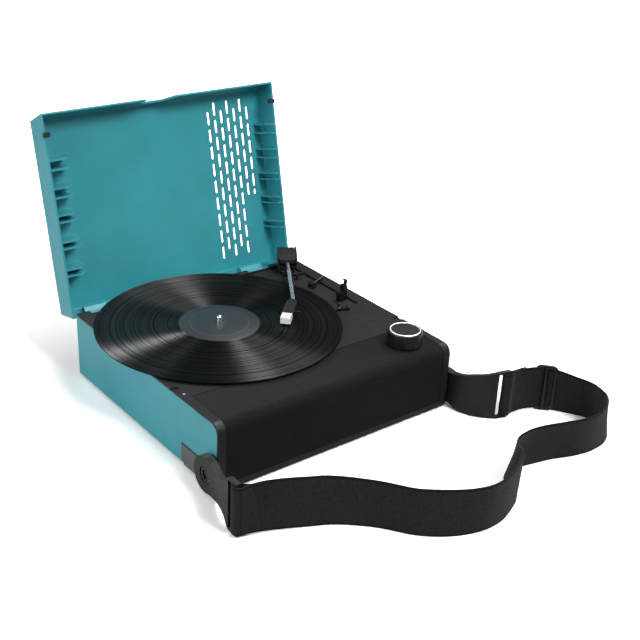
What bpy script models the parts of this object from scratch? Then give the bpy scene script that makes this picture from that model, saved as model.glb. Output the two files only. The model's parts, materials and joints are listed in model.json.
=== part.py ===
"""Suitcase record player with an open lid, a swing-up carry strap and a belt-driven platter.

Metres, +Z up. The origin is the centre of the base's underside, +X is the player's right and +Y its rear.
The lid stands open, the tonearm is in its playing position and the strap lies forward of the base.
"""

import math

import bmesh
import bpy
from mathutils import Matrix, Vector

MM = 0.001
GAP = 0.3 * MM  # clearance between touching pieces

# Base casing
WIDTH, DEPTH, HEIGHT = 333 * MM, 318 * MM, 82 * MM
WALL = 2.5 * MM
FRONT_RADIUS = 13 * MM  # rounded edge between the deck and the front
CLOTH_LINE_Y = -90 * MM  # where the deck stops and the speaker cloth starts
FRAME_SIDE, FRAME_BOTTOM = 10 * MM, 7 * MM
FOOT_RADIUS, FOOT_HEIGHT, FOOT_RECESS = 9 * MM, 3 * MM, 1 * MM
FOOT_X, FOOT_FRONT_Y, FOOT_REAR_Y = 138 * MM, -128 * MM, 130 * MM

# Lid
LID_LENGTH, LID_DEPTH, LID_SLOPE, LID_OVERHANG = 252.8 * MM, 36 * MM, 10 * MM, 1 * MM
LID_HALF = WIDTH / 2 + LID_OVERHANG
LID_RIM_Z = HEIGHT + 0.4 * MM
HINGE_Y, HINGE_Z = DEPTH / 2, 73.6 * MM
OPEN_ANGLE = math.radians(102.3)
KNUCKLE_RADIUS, PIN_RADIUS, PIN_BORE = 4.3 * MM, 1.5 * MM, 1.9 * MM
HINGE_SPANS = {"left": (-148 * MM, -118 * MM), "right": (88 * MM, 122 * MM)}
HINGE_EAR, HINGE_CLEARANCE = 4 * MM, 1 * MM
BUMPER_Y, BUMPER_HALF = -68 * MM, 3 * MM

# Turntable
SPINDLE_X, SPINDLE_Y = -36 * MM, 38 * MM
PLATTER_RADIUS, PLATTER_TOP = 98 * MM, HEIGHT - 0.8 * MM
MAT_TOP = HEIGHT + 1.5 * MM
SPINDLE_RADIUS, SPINDLE_TOP = 3.5 * MM, HEIGHT + 13.5 * MM
WELL_RADIUS, PAN_TOP, PAN_FLOOR = 101.5 * MM, HEIGHT - WALL - GAP, 69 * MM
DRIVE_RING_RADIUS, PULLEY_RADIUS, MOTOR_DISTANCE = 60 * MM, 6 * MM, 80 * MM
DRIVE_RING_LOW = PLATTER_TOP - 9.2 * MM
MOTOR_BEARING = math.radians(-50)

# Tonearm, built along its own +X from the pivot
ARM_X, ARM_Y, ARM_Z = 137.5 * MM, 134.5 * MM, 95 * MM
ARM_HEADING = math.radians(237)
TUBE_RADIUS, TUBE_LENGTH = 2.5 * MM, 130.6 * MM
SHELL_OFFSET = math.radians(-14)
REST_X, REST_Y = 138 * MM, 19 * MM
CUE_X, CUE_Y, CUE_Z, CUE_HEADING = 133 * MM, 71 * MM, 84 * MM, math.radians(16)
LIFT_RADIUS, LIFT_POST_BEARING = 33 * MM, 258  # degrees
TRAY_LEFT, TRAY_RIGHT, TRAY_FRONT, TRAY_REAR = 60 * MM, 149.5 * MM, -6 * MM, 150 * MM

# Volume knob, speed selector and speakers
KNOB_X, KNOB_Y, KNOB_RADIUS = 122 * MM, -124 * MM, 21 * MM
KNOB_BOTTOM, KNOB_TOP = HEIGHT + 1.2 * MM, HEIGHT + 19.5 * MM
SELECTOR_X, SELECTOR_Y, SELECTOR_HEADING = 113.5 * MM, -8.7 * MM, math.radians(-25)
DRIVER_X, DRIVER_Z, DRIVER_RADIUS = 85 * MM, 39 * MM, 29 * MM
JACK_Z, JACK_LEFT, JACK_RIGHT, JACK_HALF = 38 * MM, -132 * MM, -58 * MM, 13 * MM
INDICATOR_X, INDICATOR_Y = -160 * MM, -82 * MM

# Carry strap
STRAP_Y, STRAP_Z, STRAP_DISC = -152 * MM, 23 * MM, 22 * MM
STRAP_WIDTH, STRAP_THICK, STRAP_LOW = 57 * MM, 2.4 * MM, -1.2 * MM
NOTCH_Y, NOTCH_Z = -86 * MM, 26 * MM
LUG_X, LUG_FACE = 174 * MM, 175 * MM  # the middle of the lug's disc, and the bottom of its screw recess
SCREW_BORE, SCREW_HEAD, SCREW_END = 3.4 * MM, 9.8 * MM, 163 * MM
STAR_OUTER, STAR_INNER, STAR_LOBES = 7.8 * MM, 5.4 * MM, 8
SLOT_BACK, SLOT_HALF, SLOT_LOW, SLOT_HIGH = 11.2 * MM, 4.7 * MM, 0.2 * MM, 57.8 * MM
ADJUSTER_X, ADJUSTER_Y, ADJUSTER_HEADING = 262, -232, math.radians(-49)  # in mm, on the strap's path
RUN_X, RUN_Y = math.cos(ADJUSTER_HEADING), math.sin(ADJUSTER_HEADING)


# ---------------------------------------------------------------- materials

def material(name, colour, roughness, metallic=0.0):
    mat = bpy.data.materials.new(name)
    mat.use_nodes = True
    shader = mat.node_tree.nodes["Principled BSDF"]
    shader.inputs["Base Color"].default_value = (*colour, 1)
    shader.inputs["Roughness"].default_value = roughness
    shader.inputs["Metallic"].default_value = metallic
    return mat


TEAL = (0.070, 0.225, 0.270)
CHARCOAL = (0.028, 0.028, 0.029)
BLACK = (0.010, 0.010, 0.011)
STEEL = (0.60, 0.60, 0.61)


# ---------------------------------------------------------------- mesh tools

def circle(radius, segments, start=0.0):
    """Points round a whole circle, anticlockwise."""
    angles = [start + 2 * math.pi * i / segments for i in range(segments)]
    return [(radius * math.cos(a), radius * math.sin(a)) for a in angles]


def arc(cx, cy, radius, first, last, steps):
    """Points along an arc, both ends included, angles in degrees."""
    angles = [math.radians(first + (last - first) * i / steps) for i in range(steps + 1)]
    return [(cx + radius * math.cos(a), cy + radius * math.sin(a)) for a in angles]


def stadium(cx, cy, length, width, steps=5):
    """A slot outline with round ends, long along the second coordinate."""
    straight, r = (length - width) / 2, width / 2
    return arc(cx, cy + straight, r, 0, 180, steps) + arc(cx, cy - straight, r, 180, 360, steps)


def rectangle(x0, x1, y0, y1):
    return [(x0, y0), (x1, y0), (x1, y1), (x0, y1)]


def rounded_rectangle(x0, x1, y0, y1, r, steps=4):
    corners = ((x1 - r, y1 - r, 0), (x0 + r, y1 - r, 90), (x0 + r, y0 + r, 180), (x1 - r, y0 + r, 270))
    return [p for cx, cy, a in corners for p in arc(cx, cy, r, a, a + 90, steps)]


def add_prism(bm, outline, low, high, axis="Z"):
    """Extrudes an outline along an axis. X axis outlines are (y, z) and Y axis outlines are (x, z)."""
    place = {
        "X": lambda u, v, w: (w, u, v),
        "Y": lambda u, v, w: (u, w, v),
        "Z": lambda u, v, w: (u, v, w),
    }[axis]
    add_loft(bm, [[place(u, v, w) for u, v in outline] for w in (low, high)])


def add_box(bm, x0, x1, y0, y1, z0, z1):
    add_prism(bm, rectangle(x0, x1, y0, y1), z0, z1)


def add_loft(bm, sections):
    """Skins equal loops of points and caps both ends."""
    loops = [[bm.verts.new(p) for p in section] for section in sections]
    count = len(loops[0])
    for one, two in zip(loops, loops[1:]):
        for i in range(count):
            bm.faces.new((one[i], one[(i + 1) % count], two[(i + 1) % count], two[i]))
    bm.faces.new(loops[0][::-1])
    bm.faces.new(loops[-1])


def add_lathe(bm, profile, segments, matrix=None):
    """Turns (radius, height) points round Z. A profile that starts on the axis also ends on it."""
    solid = profile[0][0] == 0
    rings = []
    for radius, height in profile:
        points = [(0, 0)] if radius == 0 else circle(radius, segments)
        rings.append([bm.verts.new((x, y, height)) for x, y in points])
    pairs = list(zip(rings, rings[1:])) + ([] if solid else [(rings[-1], rings[0])])
    for one, two in pairs:
        for i in range(segments):
            j = (i + 1) % segments
            corners = [one[i % len(one)], one[j % len(one)], two[j % len(two)], two[i % len(two)]]
            bm.faces.new(list(dict.fromkeys(corners)))
    if matrix:
        bmesh.ops.transform(bm, matrix=matrix, verts=[v for ring in rings for v in ring])


def add_cylinder(bm, radius, low, high, segments=24, matrix=None):
    add_lathe(bm, [(0, low), (radius, low), (radius, high), (0, high)], segments, matrix)


def along_x(x=0.0, y=0.0, z=0.0):
    """Stands a turned shape on its side, its axis pointing at +X."""
    return Matrix.Translation((x, y, z)) @ Matrix.Rotation(math.pi / 2, 4, "Y")


def along_y(x=0.0, y=0.0, z=0.0):
    """Stands a turned shape on its side, its axis pointing at +Y."""
    return Matrix.Translation((x, y, z)) @ Matrix.Rotation(-math.pi / 2, 4, "X")


def bevel_edges(bm, width, segments, test):
    """Rounds the edges whose two end points both pass the test."""
    edges = [e for e in bm.edges if all(test(v.co) for v in e.verts)]
    bmesh.ops.bevel(bm, geom=edges, offset=width, segments=segments, affect="EDGES", profile=0.5)


def make(name, bm, mat, parent=None, shift=(0, 0, 0), smooth=35):
    """Makes a finished object. The geometry is in its parent's frame, and shift becomes its own origin."""
    bmesh.ops.translate(bm, verts=bm.verts[:], vec=-Vector(shift))
    bmesh.ops.recalc_face_normals(bm, faces=bm.faces[:])
    mesh = bpy.data.meshes.new(name)
    bm.to_mesh(mesh)
    bm.free()
    mesh.shade_smooth()
    mesh.set_sharp_from_angle(angle=math.radians(smooth))
    obj = bpy.data.objects.new(name, mesh)
    bpy.context.scene.collection.objects.link(obj)
    obj.location = shift
    obj.parent = parent
    if mat:
        mesh.materials.append(mat)
    return obj


def tool(obj, bm, operation, name):
    """Adds a Boolean to an object with a helper that stays out of the render."""
    helper = make(f"{obj.name}_{name}", bm, None, parent=obj.parent)
    helper.hide_render = True
    helper.display_type = "WIRE"
    modifier = obj.modifiers.new(name, "BOOLEAN")
    modifier.operation = operation
    modifier.solver = "EXACT"
    modifier.object = helper


def empty(name, location, rotation=(0, 0, 0)):
    obj = bpy.data.objects.new(name, None)
    bpy.context.scene.collection.objects.link(obj)
    obj.location = location
    obj.rotation_euler = rotation
    obj.empty_display_size = 0.02
    return obj


# ---------------------------------------------------------------- casing

def side_outline(inset, rear, bottom):
    """The casing's side view from its top rear, round the front edge, down to its bottom front."""
    centre_y, centre_z = -DEPTH / 2 + FRONT_RADIUS, HEIGHT - FRONT_RADIUS
    round_edge = arc(centre_y, centre_z, FRONT_RADIUS - inset, 90, 180, 8)
    return [(rear, HEIGHT - inset)] + round_edge + [(-DEPTH / 2 + inset, bottom)]


def wrap(bm, half_width, outer, inner, rear, bottom):
    """A sheet that follows the casing's side view."""
    outline = side_outline(outer, rear, bottom) + side_outline(inner, rear, bottom)[::-1]
    add_prism(bm, outline, -half_width, half_width, "X")


def base_tub(mat):
    bm = bmesh.new()
    inset = WALL + GAP
    outline = side_outline(inset, DEPTH / 2, 0) + [(DEPTH / 2, 0)]
    add_prism(bm, outline, -WIDTH / 2, WIDTH / 2, "X")
    tub = make("base_tub", bm, mat)

    bm = bmesh.new()
    add_box(bm, -WIDTH / 2 + WALL, WIDTH / 2 - WALL, -DEPTH, DEPTH / 2 - WALL, WALL, 2 * HEIGHT)
    tool(tub, bm, "DIFFERENCE", "inside")

    bm = bmesh.new()
    for side in (-1, 1):
        x0, x1 = sorted((side * (WIDTH / 2 - 3 * WALL), side * (WIDTH / 2 - WALL / 2)))
        add_box(bm, x0, x1, -DEPTH / 2 + 8 * MM, NOTCH_Y + WALL, WALL / 2, NOTCH_Z + WALL)
    tool(tub, bm, "UNION", "pocket_walls")

    bm = bmesh.new()
    for side in (-1, 1):
        far, near = side * WIDTH, side * (WIDTH / 2 - 2 * WALL)
        add_box(bm, min(far, near), max(far, near), -DEPTH, NOTCH_Y, -WALL, NOTCH_Z)
    tool(tub, bm, "DIFFERENCE", "strap_notches")

    bm = bmesh.new()
    for x0, x1 in HINGE_SPANS.values():
        for ear in (x0 - HINGE_CLEARANCE - HINGE_EAR, x1 + HINGE_CLEARANCE):
            knuckle = arc(HINGE_Y, HINGE_Z, KNUCKLE_RADIUS, -90, 90, 8)
            outline = [(HINGE_Y - 6 * MM, HINGE_Z - KNUCKLE_RADIUS)] + knuckle
            outline += [(HINGE_Y - 6 * MM, HINGE_Z + KNUCKLE_RADIUS)]
            add_prism(bm, outline, ear, ear + HINGE_EAR, "X")
    tool(tub, bm, "UNION", "hinge_ears")

    bm = bmesh.new()
    for x0, x1 in HINGE_SPANS.values():
        low, high = x0 - HINGE_CLEARANCE, x1 + HINGE_CLEARANCE
        add_box(bm, low, high, DEPTH / 2 - 8 * MM, DEPTH, HINGE_Z - 6 * MM, 2 * HEIGHT)
    tool(tub, bm, "DIFFERENCE", "hinge_notches")

    bm = bmesh.new()
    for x0, x1 in HINGE_SPANS.values():
        reach = 2 * MM + HINGE_EAR
        add_cylinder(bm, PIN_BORE, x0 - reach, x1 + reach, 16, along_x(0, HINGE_Y, HINGE_Z))
    tool(tub, bm, "DIFFERENCE", "pin_bores")

    bm = bmesh.new()
    low, high = JACK_Z - JACK_HALF, JACK_Z + JACK_HALF
    add_box(bm, JACK_LEFT, JACK_RIGHT, DEPTH / 2 - 2 * WALL, DEPTH, low, high)
    for x, y in foot_places().values():
        add_cylinder(bm, FOOT_RADIUS + GAP, -WALL, FOOT_RECESS, 32, Matrix.Translation((x, y, 0)))
    tool(tub, bm, "DIFFERENCE", "socket_opening_and_foot_recesses")
    return tub


def deck_frame(mat):
    """The deck and the narrow frame round the speaker cloth, moulded as one sheet."""
    bm = bmesh.new()
    wrap(bm, WIDTH / 2, 0, WALL, DEPTH / 2, 0)
    deck = make("deck_frame", bm, mat)

    bm = bmesh.new()
    half = WIDTH / 2 - FRAME_SIDE
    add_box(bm, -half, half, -DEPTH, CLOTH_LINE_Y, FRAME_BOTTOM, 2 * HEIGHT)
    tool(deck, bm, "DIFFERENCE", "cloth_opening")

    bm = bmesh.new()
    place = Matrix.Translation((SPINDLE_X, SPINDLE_Y, 0))
    add_cylinder(bm, WELL_RADIUS, HEIGHT / 2, 2 * HEIGHT, 72, place)
    tool(deck, bm, "DIFFERENCE", "platter_well")

    bm = bmesh.new()
    add_prism(bm, tray_outline(0), HEIGHT / 2, 2 * HEIGHT)
    tool(deck, bm, "DIFFERENCE", "tonearm_tray")

    bm = bmesh.new()
    for x0, x1 in HINGE_SPANS.values():
        low, high = x0 - HINGE_CLEARANCE, x1 + HINGE_CLEARANCE
        add_box(bm, low, high, DEPTH / 2 - 8 * MM, DEPTH, HEIGHT / 2, 2 * HEIGHT)
    for side in (-1, 1):
        x0, x1 = sorted((side * (WIDTH / 2 - 9 * MM), side * WIDTH))
        reach = BUMPER_HALF + 1.5 * MM
        add_box(bm, x0, x1, BUMPER_Y - reach, BUMPER_Y + reach, HEIGHT - 1.9 * MM, 2 * HEIGHT)
    lens = Matrix.Translation((INDICATOR_X, INDICATOR_Y, 0))
    add_cylinder(bm, 1.8 * MM, HEIGHT / 2, 2 * HEIGHT, 16, lens)
    tool(deck, bm, "DIFFERENCE", "small_openings")
    return deck


def tray_outline(grow):
    """The sunken tray beside the platter that holds the tonearm's parts."""
    return rounded_rectangle(TRAY_LEFT - grow, TRAY_RIGHT + grow, TRAY_FRONT - grow, TRAY_REAR + grow,
                             4 * MM + grow)


def chassis_pan(mat):
    """The dished plate under the deck: a round well for the platter and a raised tray at its right."""
    bm = bmesh.new()
    add_prism(bm, tray_outline(3 * MM), PAN_TOP - WALL, PAN_TOP)
    pan = make("chassis_pan", bm, mat)

    centre = Matrix.Translation((SPINDLE_X, SPINDLE_Y, 0))
    bm = bmesh.new()
    add_cylinder(bm, WELL_RADIUS + WALL, PAN_FLOOR - 2 * MM, PAN_TOP, 72, centre)
    tool(pan, bm, "UNION", "well")
    bm = bmesh.new()
    add_cylinder(bm, WELL_RADIUS, PAN_FLOOR, 2 * HEIGHT, 72, centre)
    tool(pan, bm, "DIFFERENCE", "well_inside")

    bm = bmesh.new()
    heading = Matrix.Translation((CUE_X, CUE_Y, 0)) @ Matrix.Rotation(CUE_HEADING, 4, "Z")
    for side in (-1, 1):
        start = len(bm.verts)
        y0, y1 = sorted((side * 3.3 * MM, side * 5 * MM))
        add_box(bm, -3 * MM, 3 * MM, y0, y1, PAN_TOP - 1 * MM, CUE_Z + 3 * MM)
        bmesh.ops.transform(bm, matrix=heading, verts=bm.verts[start:])
    tool(pan, bm, "UNION", "cue_ears")

    bm = bmesh.new()
    add_cylinder(bm, 6.3 * MM, 0, HEIGHT, 24, centre)
    motor = Matrix.Translation(motor_place())
    add_cylinder(bm, 7 * MM, 0, PAN_FLOOR + 1 * MM, 24, motor)
    lift = lift_post_place()
    add_cylinder(bm, 2.4 * MM, HEIGHT / 2, 2 * HEIGHT, 16, Matrix.Translation(lift))
    pin = Matrix.Translation((0, 0, CUE_Z)) @ heading @ along_y()
    add_cylinder(bm, 1.5 * MM, -7 * MM, 7 * MM, 12, pin)
    tool(pan, bm, "DIFFERENCE", "holes")
    return pan


def foot_places():
    return {
        f"{end}_{side}": (x, y)
        for end, y in (("front", FOOT_FRONT_Y), ("rear", FOOT_REAR_Y))
        for side, x in (("left", -FOOT_X), ("right", FOOT_X))
    }


def feet(mat):
    """Rubber feet that sit in round recesses in the casing's underside."""
    low, high, edge = -FOOT_HEIGHT, FOOT_RECESS - GAP, 1 * MM
    for name, (x, y) in foot_places().items():
        bm = bmesh.new()
        profile = [(0, low), (FOOT_RADIUS - edge, low), (FOOT_RADIUS, low + edge), (FOOT_RADIUS, high),
                   (0, high)]
        add_lathe(bm, profile, 24, Matrix.Translation((x, y, 0)))
        make(f"foot_{name}", bm, mat)


# ---------------------------------------------------------------- speakers, power and sockets

def speaker_section(cloth_mat, baffle_mat, basket_mat, cone_mat):
    half = WIDTH / 2 - FRAME_SIDE - GAP
    rear, bottom = CLOTH_LINE_Y - GAP, FRAME_BOTTOM + GAP
    shaft = Matrix.Translation((KNOB_X, KNOB_Y, 0))

    bm = bmesh.new()
    wrap(bm, half, 0.5 * MM, 1.8 * MM, rear, bottom)
    cloth = make("speaker_cloth", bm, cloth_mat)
    bm = bmesh.new()
    add_cylinder(bm, 4 * MM, HEIGHT / 2, 2 * HEIGHT, 16, shaft)
    tool(cloth, bm, "DIFFERENCE", "shaft_hole")

    bm = bmesh.new()
    wrap(bm, half, 2.1 * MM, 4.6 * MM, rear, bottom)
    baffle = make("speaker_baffle", bm, baffle_mat)
    bm = bmesh.new()
    add_cylinder(bm, 4 * MM, HEIGHT / 2, 2 * HEIGHT, 16, shaft)
    for side in (-1, 1):
        mouth = along_y(side * DRIVER_X, -DEPTH / 2, DRIVER_Z)
        add_cylinder(bm, DRIVER_RADIUS - 4 * MM, -10 * MM, 10 * MM, 32, mouth)
    tool(baffle, bm, "DIFFERENCE", "holes")

    front = -DEPTH / 2 + 4.6 * MM + GAP
    for side, name in ((-1, "left"), (1, "right")):
        place = along_y(side * DRIVER_X, front, DRIVER_Z)
        rim = DRIVER_RADIUS - 4 * MM
        bm = bmesh.new()
        basket = [(0, 12 * MM), (9 * MM, 12 * MM), (rim, 1.5 * MM), (rim, 0), (DRIVER_RADIUS, 0),
                  (DRIVER_RADIUS, 2 * MM), (18 * MM, 15 * MM), (18 * MM, 27 * MM), (0, 27 * MM)]
        add_lathe(bm, basket, 32, place)
        make(f"driver_{name}", bm, basket_mat)
        bm = bmesh.new()
        add_lathe(bm, [(0, 5.5 * MM), (8 * MM, 7 * MM), (rim - 1 * MM, 0), (rim - 1 * MM, 1 * MM),
                       (8.5 * MM, 10 * MM), (0, 10 * MM)], 32, place)
        make(f"driver_cone_{name}", bm, cone_mat)


def power_and_board(board_mat, battery_mat):
    bm = bmesh.new()
    add_box(bm, 20 * MM, 120 * MM, -70 * MM, -5 * MM, 10 * MM, 11.6 * MM)
    obj = make("main_board", bm, board_mat)
    bm = bmesh.new()
    for x, y, w, d, top in ((70, -40, 7, 7, 14.6), (40, -20, 6, 4, 21.6), (100, -55, 9, 5, 19.6)):
        add_box(bm, *(v * MM for v in (x - w, x + w, y - d, y + d, 11, top)))
    tool(obj, bm, "UNION", "chips")

    bm = bmesh.new()
    outline = [(-z - 6 * MM, y) for y, z in stadium(13 * MM, 34 * MM, 40 * MM, 19 * MM, 8)]
    add_prism(bm, outline, -70 * MM, -2 * MM, "X")
    make("battery_pack", bm, battery_mat)


def sockets(panel_mat, red_mat, white_mat, black_mat):
    bm = bmesh.new()
    low, high = JACK_Z - JACK_HALF + GAP, JACK_Z + JACK_HALF - GAP
    add_box(bm, JACK_LEFT + GAP, JACK_RIGHT - GAP, DEPTH / 2 - 3.5 * MM, DEPTH / 2 - 1 * MM, low, high)
    panel = make("rear_socket_panel", bm, panel_mat)
    places = (
        ("line_out_left", -120 * MM, 4.2 * MM, white_mat),
        ("line_out_right", -104 * MM, 4.2 * MM, red_mat),
        ("aux_socket", -86 * MM, 3.4 * MM, black_mat),
        ("power_socket", -70 * MM, 4.0 * MM, black_mat),
    )
    bm = bmesh.new()
    for _, x, radius, _ in places:
        add_cylinder(bm, radius + GAP, -10 * MM, 10 * MM, 20, along_y(x, DEPTH / 2, JACK_Z))
    tool(panel, bm, "DIFFERENCE", "socket_holes")
    for name, x, radius, mat in places:
        bm = bmesh.new()
        add_lathe(bm, [(0, -14 * MM), (radius, -14 * MM), (radius, 0), (radius - 1.2 * MM, 0),
                       (radius - 1.2 * MM, -8 * MM), (0, -8 * MM)], 20, along_y(x, DEPTH / 2, JACK_Z))
        make(name, bm, mat)


# ---------------------------------------------------------------- turntable

def motor_place():
    return Vector((SPINDLE_X + MOTOR_DISTANCE * math.cos(MOTOR_BEARING),
                   SPINDLE_Y + MOTOR_DISTANCE * math.sin(MOTOR_BEARING), 0))


def belt_loop(ring, pulley, steps=24):
    """An open belt round two wheels, in plan, from the spindle's centre."""
    tilt = math.degrees(math.acos((ring - pulley) / MOTOR_DISTANCE))
    bearing = math.degrees(MOTOR_BEARING)
    mx, my = MOTOR_DISTANCE * math.cos(MOTOR_BEARING), MOTOR_DISTANCE * math.sin(MOTOR_BEARING)
    big = arc(0, 0, ring, bearing + tilt, bearing + 360 - tilt, 2 * steps)
    small = arc(mx, my, pulley, bearing - tilt, bearing + tilt, steps // 2)
    return big + small


def turntable(platter_mat, mat_mat, steel_mat, brass_mat, belt_mat):
    centre = Vector((SPINDLE_X, SPINDLE_Y, 0))
    place = Matrix.Translation(centre)
    plate, low = PLATTER_TOP - WALL, DRIVE_RING_LOW

    bm = bmesh.new()
    ring, hub, bore = DRIVE_RING_RADIUS, 8 * MM, SPINDLE_RADIUS + GAP
    underside = [(bore, low), (hub, low), (hub, plate), (ring - WALL, plate), (ring - WALL, low), (ring, low),
                 (ring, plate), (PLATTER_RADIUS - WALL, plate), (PLATTER_RADIUS - WALL, low)]
    outside = [(PLATTER_RADIUS, low), (PLATTER_RADIUS, PLATTER_TOP - 1 * MM),
               (PLATTER_RADIUS - 1 * MM, PLATTER_TOP), (bore, PLATTER_TOP)]
    add_lathe(bm, underside + outside, 72, place)
    make("platter", bm, platter_mat, shift=centre)

    bm = bmesh.new()
    radius = PLATTER_RADIUS - 2 * MM
    add_lathe(bm, [(bore, PLATTER_TOP + GAP), (radius, PLATTER_TOP + GAP), (radius, MAT_TOP - 0.6 * MM),
                   (radius - 0.8 * MM, MAT_TOP), (bore, MAT_TOP)], 72, place)
    make("platter_mat", bm, mat_mat, shift=centre)

    bm = bmesh.new()
    dome = arc(0, SPINDLE_TOP - SPINDLE_RADIUS, SPINDLE_RADIUS, 0, 75, 5)
    add_lathe(bm, [(0, 57 * MM), (SPINDLE_RADIUS, 57 * MM)] + dome + [(0, SPINDLE_TOP)], 20, place)
    make("spindle", bm, steel_mat, shift=centre)

    bm = bmesh.new()
    add_lathe(bm, [(0, 53 * MM), (6 * MM, 53 * MM), (6 * MM, PAN_FLOOR + GAP), (10 * MM, PAN_FLOOR + GAP),
                   (10 * MM, PAN_FLOOR + 1.7 * MM), (bore, PAN_FLOOR + 1.7 * MM), (bore, 55 * MM),
                   (0, 55 * MM)], 24, place)
    make("spindle_bearing", bm, brass_mat)

    inner = belt_loop(DRIVE_RING_RADIUS + GAP, PULLEY_RADIUS + GAP)
    outer = belt_loop(DRIVE_RING_RADIUS + 1.1 * MM, PULLEY_RADIUS + 1.1 * MM)
    bm = bmesh.new()
    bottom, top = low + 2 * MM, low + 5.5 * MM
    sections = []
    for pair in zip(inner, outer):
        (x0, y0), (x1, y1) = [(x + SPINDLE_X, y + SPINDLE_Y) for x, y in pair]
        sections.append([(x0, y0, bottom), (x1, y1, bottom), (x1, y1, top), (x0, y0, top)])
    add_closed_loft(bm, sections)
    make("drive_belt", bm, belt_mat)


def add_closed_loft(bm, sections):
    """Skins equal loops of points into a ring."""
    loops = [[bm.verts.new(p) for p in section] for section in sections]
    for one, two in zip(loops, loops[1:] + loops[:1]):
        for i in range(len(one)):
            j = (i + 1) % len(one)
            bm.faces.new((one[i], one[j], two[j], two[i]))


def drive(motor_mat, pulley_mat):
    spot = motor_place()
    place = Matrix.Translation(spot)
    top = PAN_FLOOR - 2 * MM - GAP
    bm = bmesh.new()
    add_lathe(bm, [(0, 37 * MM), (16 * MM, 37 * MM), (16 * MM, top), (1.6 * MM, top), (1.6 * MM, 55 * MM),
                   (0, 55 * MM)], 32, place)
    make("motor", bm, motor_mat)
    low, shaft, flange = DRIVE_RING_LOW, 1.2 * MM, PULLEY_RADIUS + 1.4 * MM
    profile = [(0, 56 * MM), (shaft, 56 * MM), (shaft, low - 0.5 * MM), (flange, low - 0.5 * MM),
               (flange, low + 1.2 * MM), (PULLEY_RADIUS, low + 1.6 * MM), (PULLEY_RADIUS, low + 5.8 * MM),
               (0, low + 6 * MM)]
    bm = bmesh.new()
    add_lathe(bm, profile, 24, place)
    make("motor_pulley", bm, pulley_mat, shift=spot)


# ---------------------------------------------------------------- tonearm and its rest

def pedestal(mat):
    bm = bmesh.new()
    place = Matrix.Translation((ARM_X, ARM_Y, 0))
    low, high = PAN_TOP + GAP, ARM_Z - 6.5 * MM
    bore, flange, body = 3.3 * MM, 11.4 * MM, 10.6 * MM
    add_lathe(bm, [(bore, low), (flange, low), (flange, low + 2 * MM), (body, low + 2.5 * MM),
                   (body, high - 1 * MM), (body - 1 * MM, high), (bore, high)], 32, place)
    make("tonearm_pedestal", bm, mat)


def turret(mat, axis):
    """The yoke that turns on the pedestal and carries the arm between its two cheeks."""
    bm = bmesh.new()
    low = -6.2 * MM
    add_cylinder(bm, 3 * MM, -15 * MM, low + 1 * MM, 16)
    yoke = make("tonearm_turret", bm, mat, parent=axis)
    bm = bmesh.new()
    add_prism(bm, rounded_rectangle(-8 * MM, 12 * MM, -13 * MM, 13 * MM, 2 * MM), low, low + 2 * MM)
    tool(yoke, bm, "UNION", "floor")
    bm = bmesh.new()
    for side in (-1, 1):
        y0, y1 = sorted((side * 10.7 * MM, side * 13 * MM))
        rear, front, foot = -16.5 * MM, 12 * MM, low + 1 * MM
        outline = [(rear, foot), (front, foot), (front, 7 * MM), (8 * MM, 11.5 * MM),
                   (-14.5 * MM, 13.5 * MM), (rear, 11.5 * MM)]
        add_prism(bm, outline, y0, y1, "Y")
    tool(yoke, bm, "UNION", "cheeks")
    bm = bmesh.new()
    add_cylinder(bm, 2.1 * MM, -15 * MM, 15 * MM, 16, along_y())
    tool(yoke, bm, "DIFFERENCE", "trunnion_bores")


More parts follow.
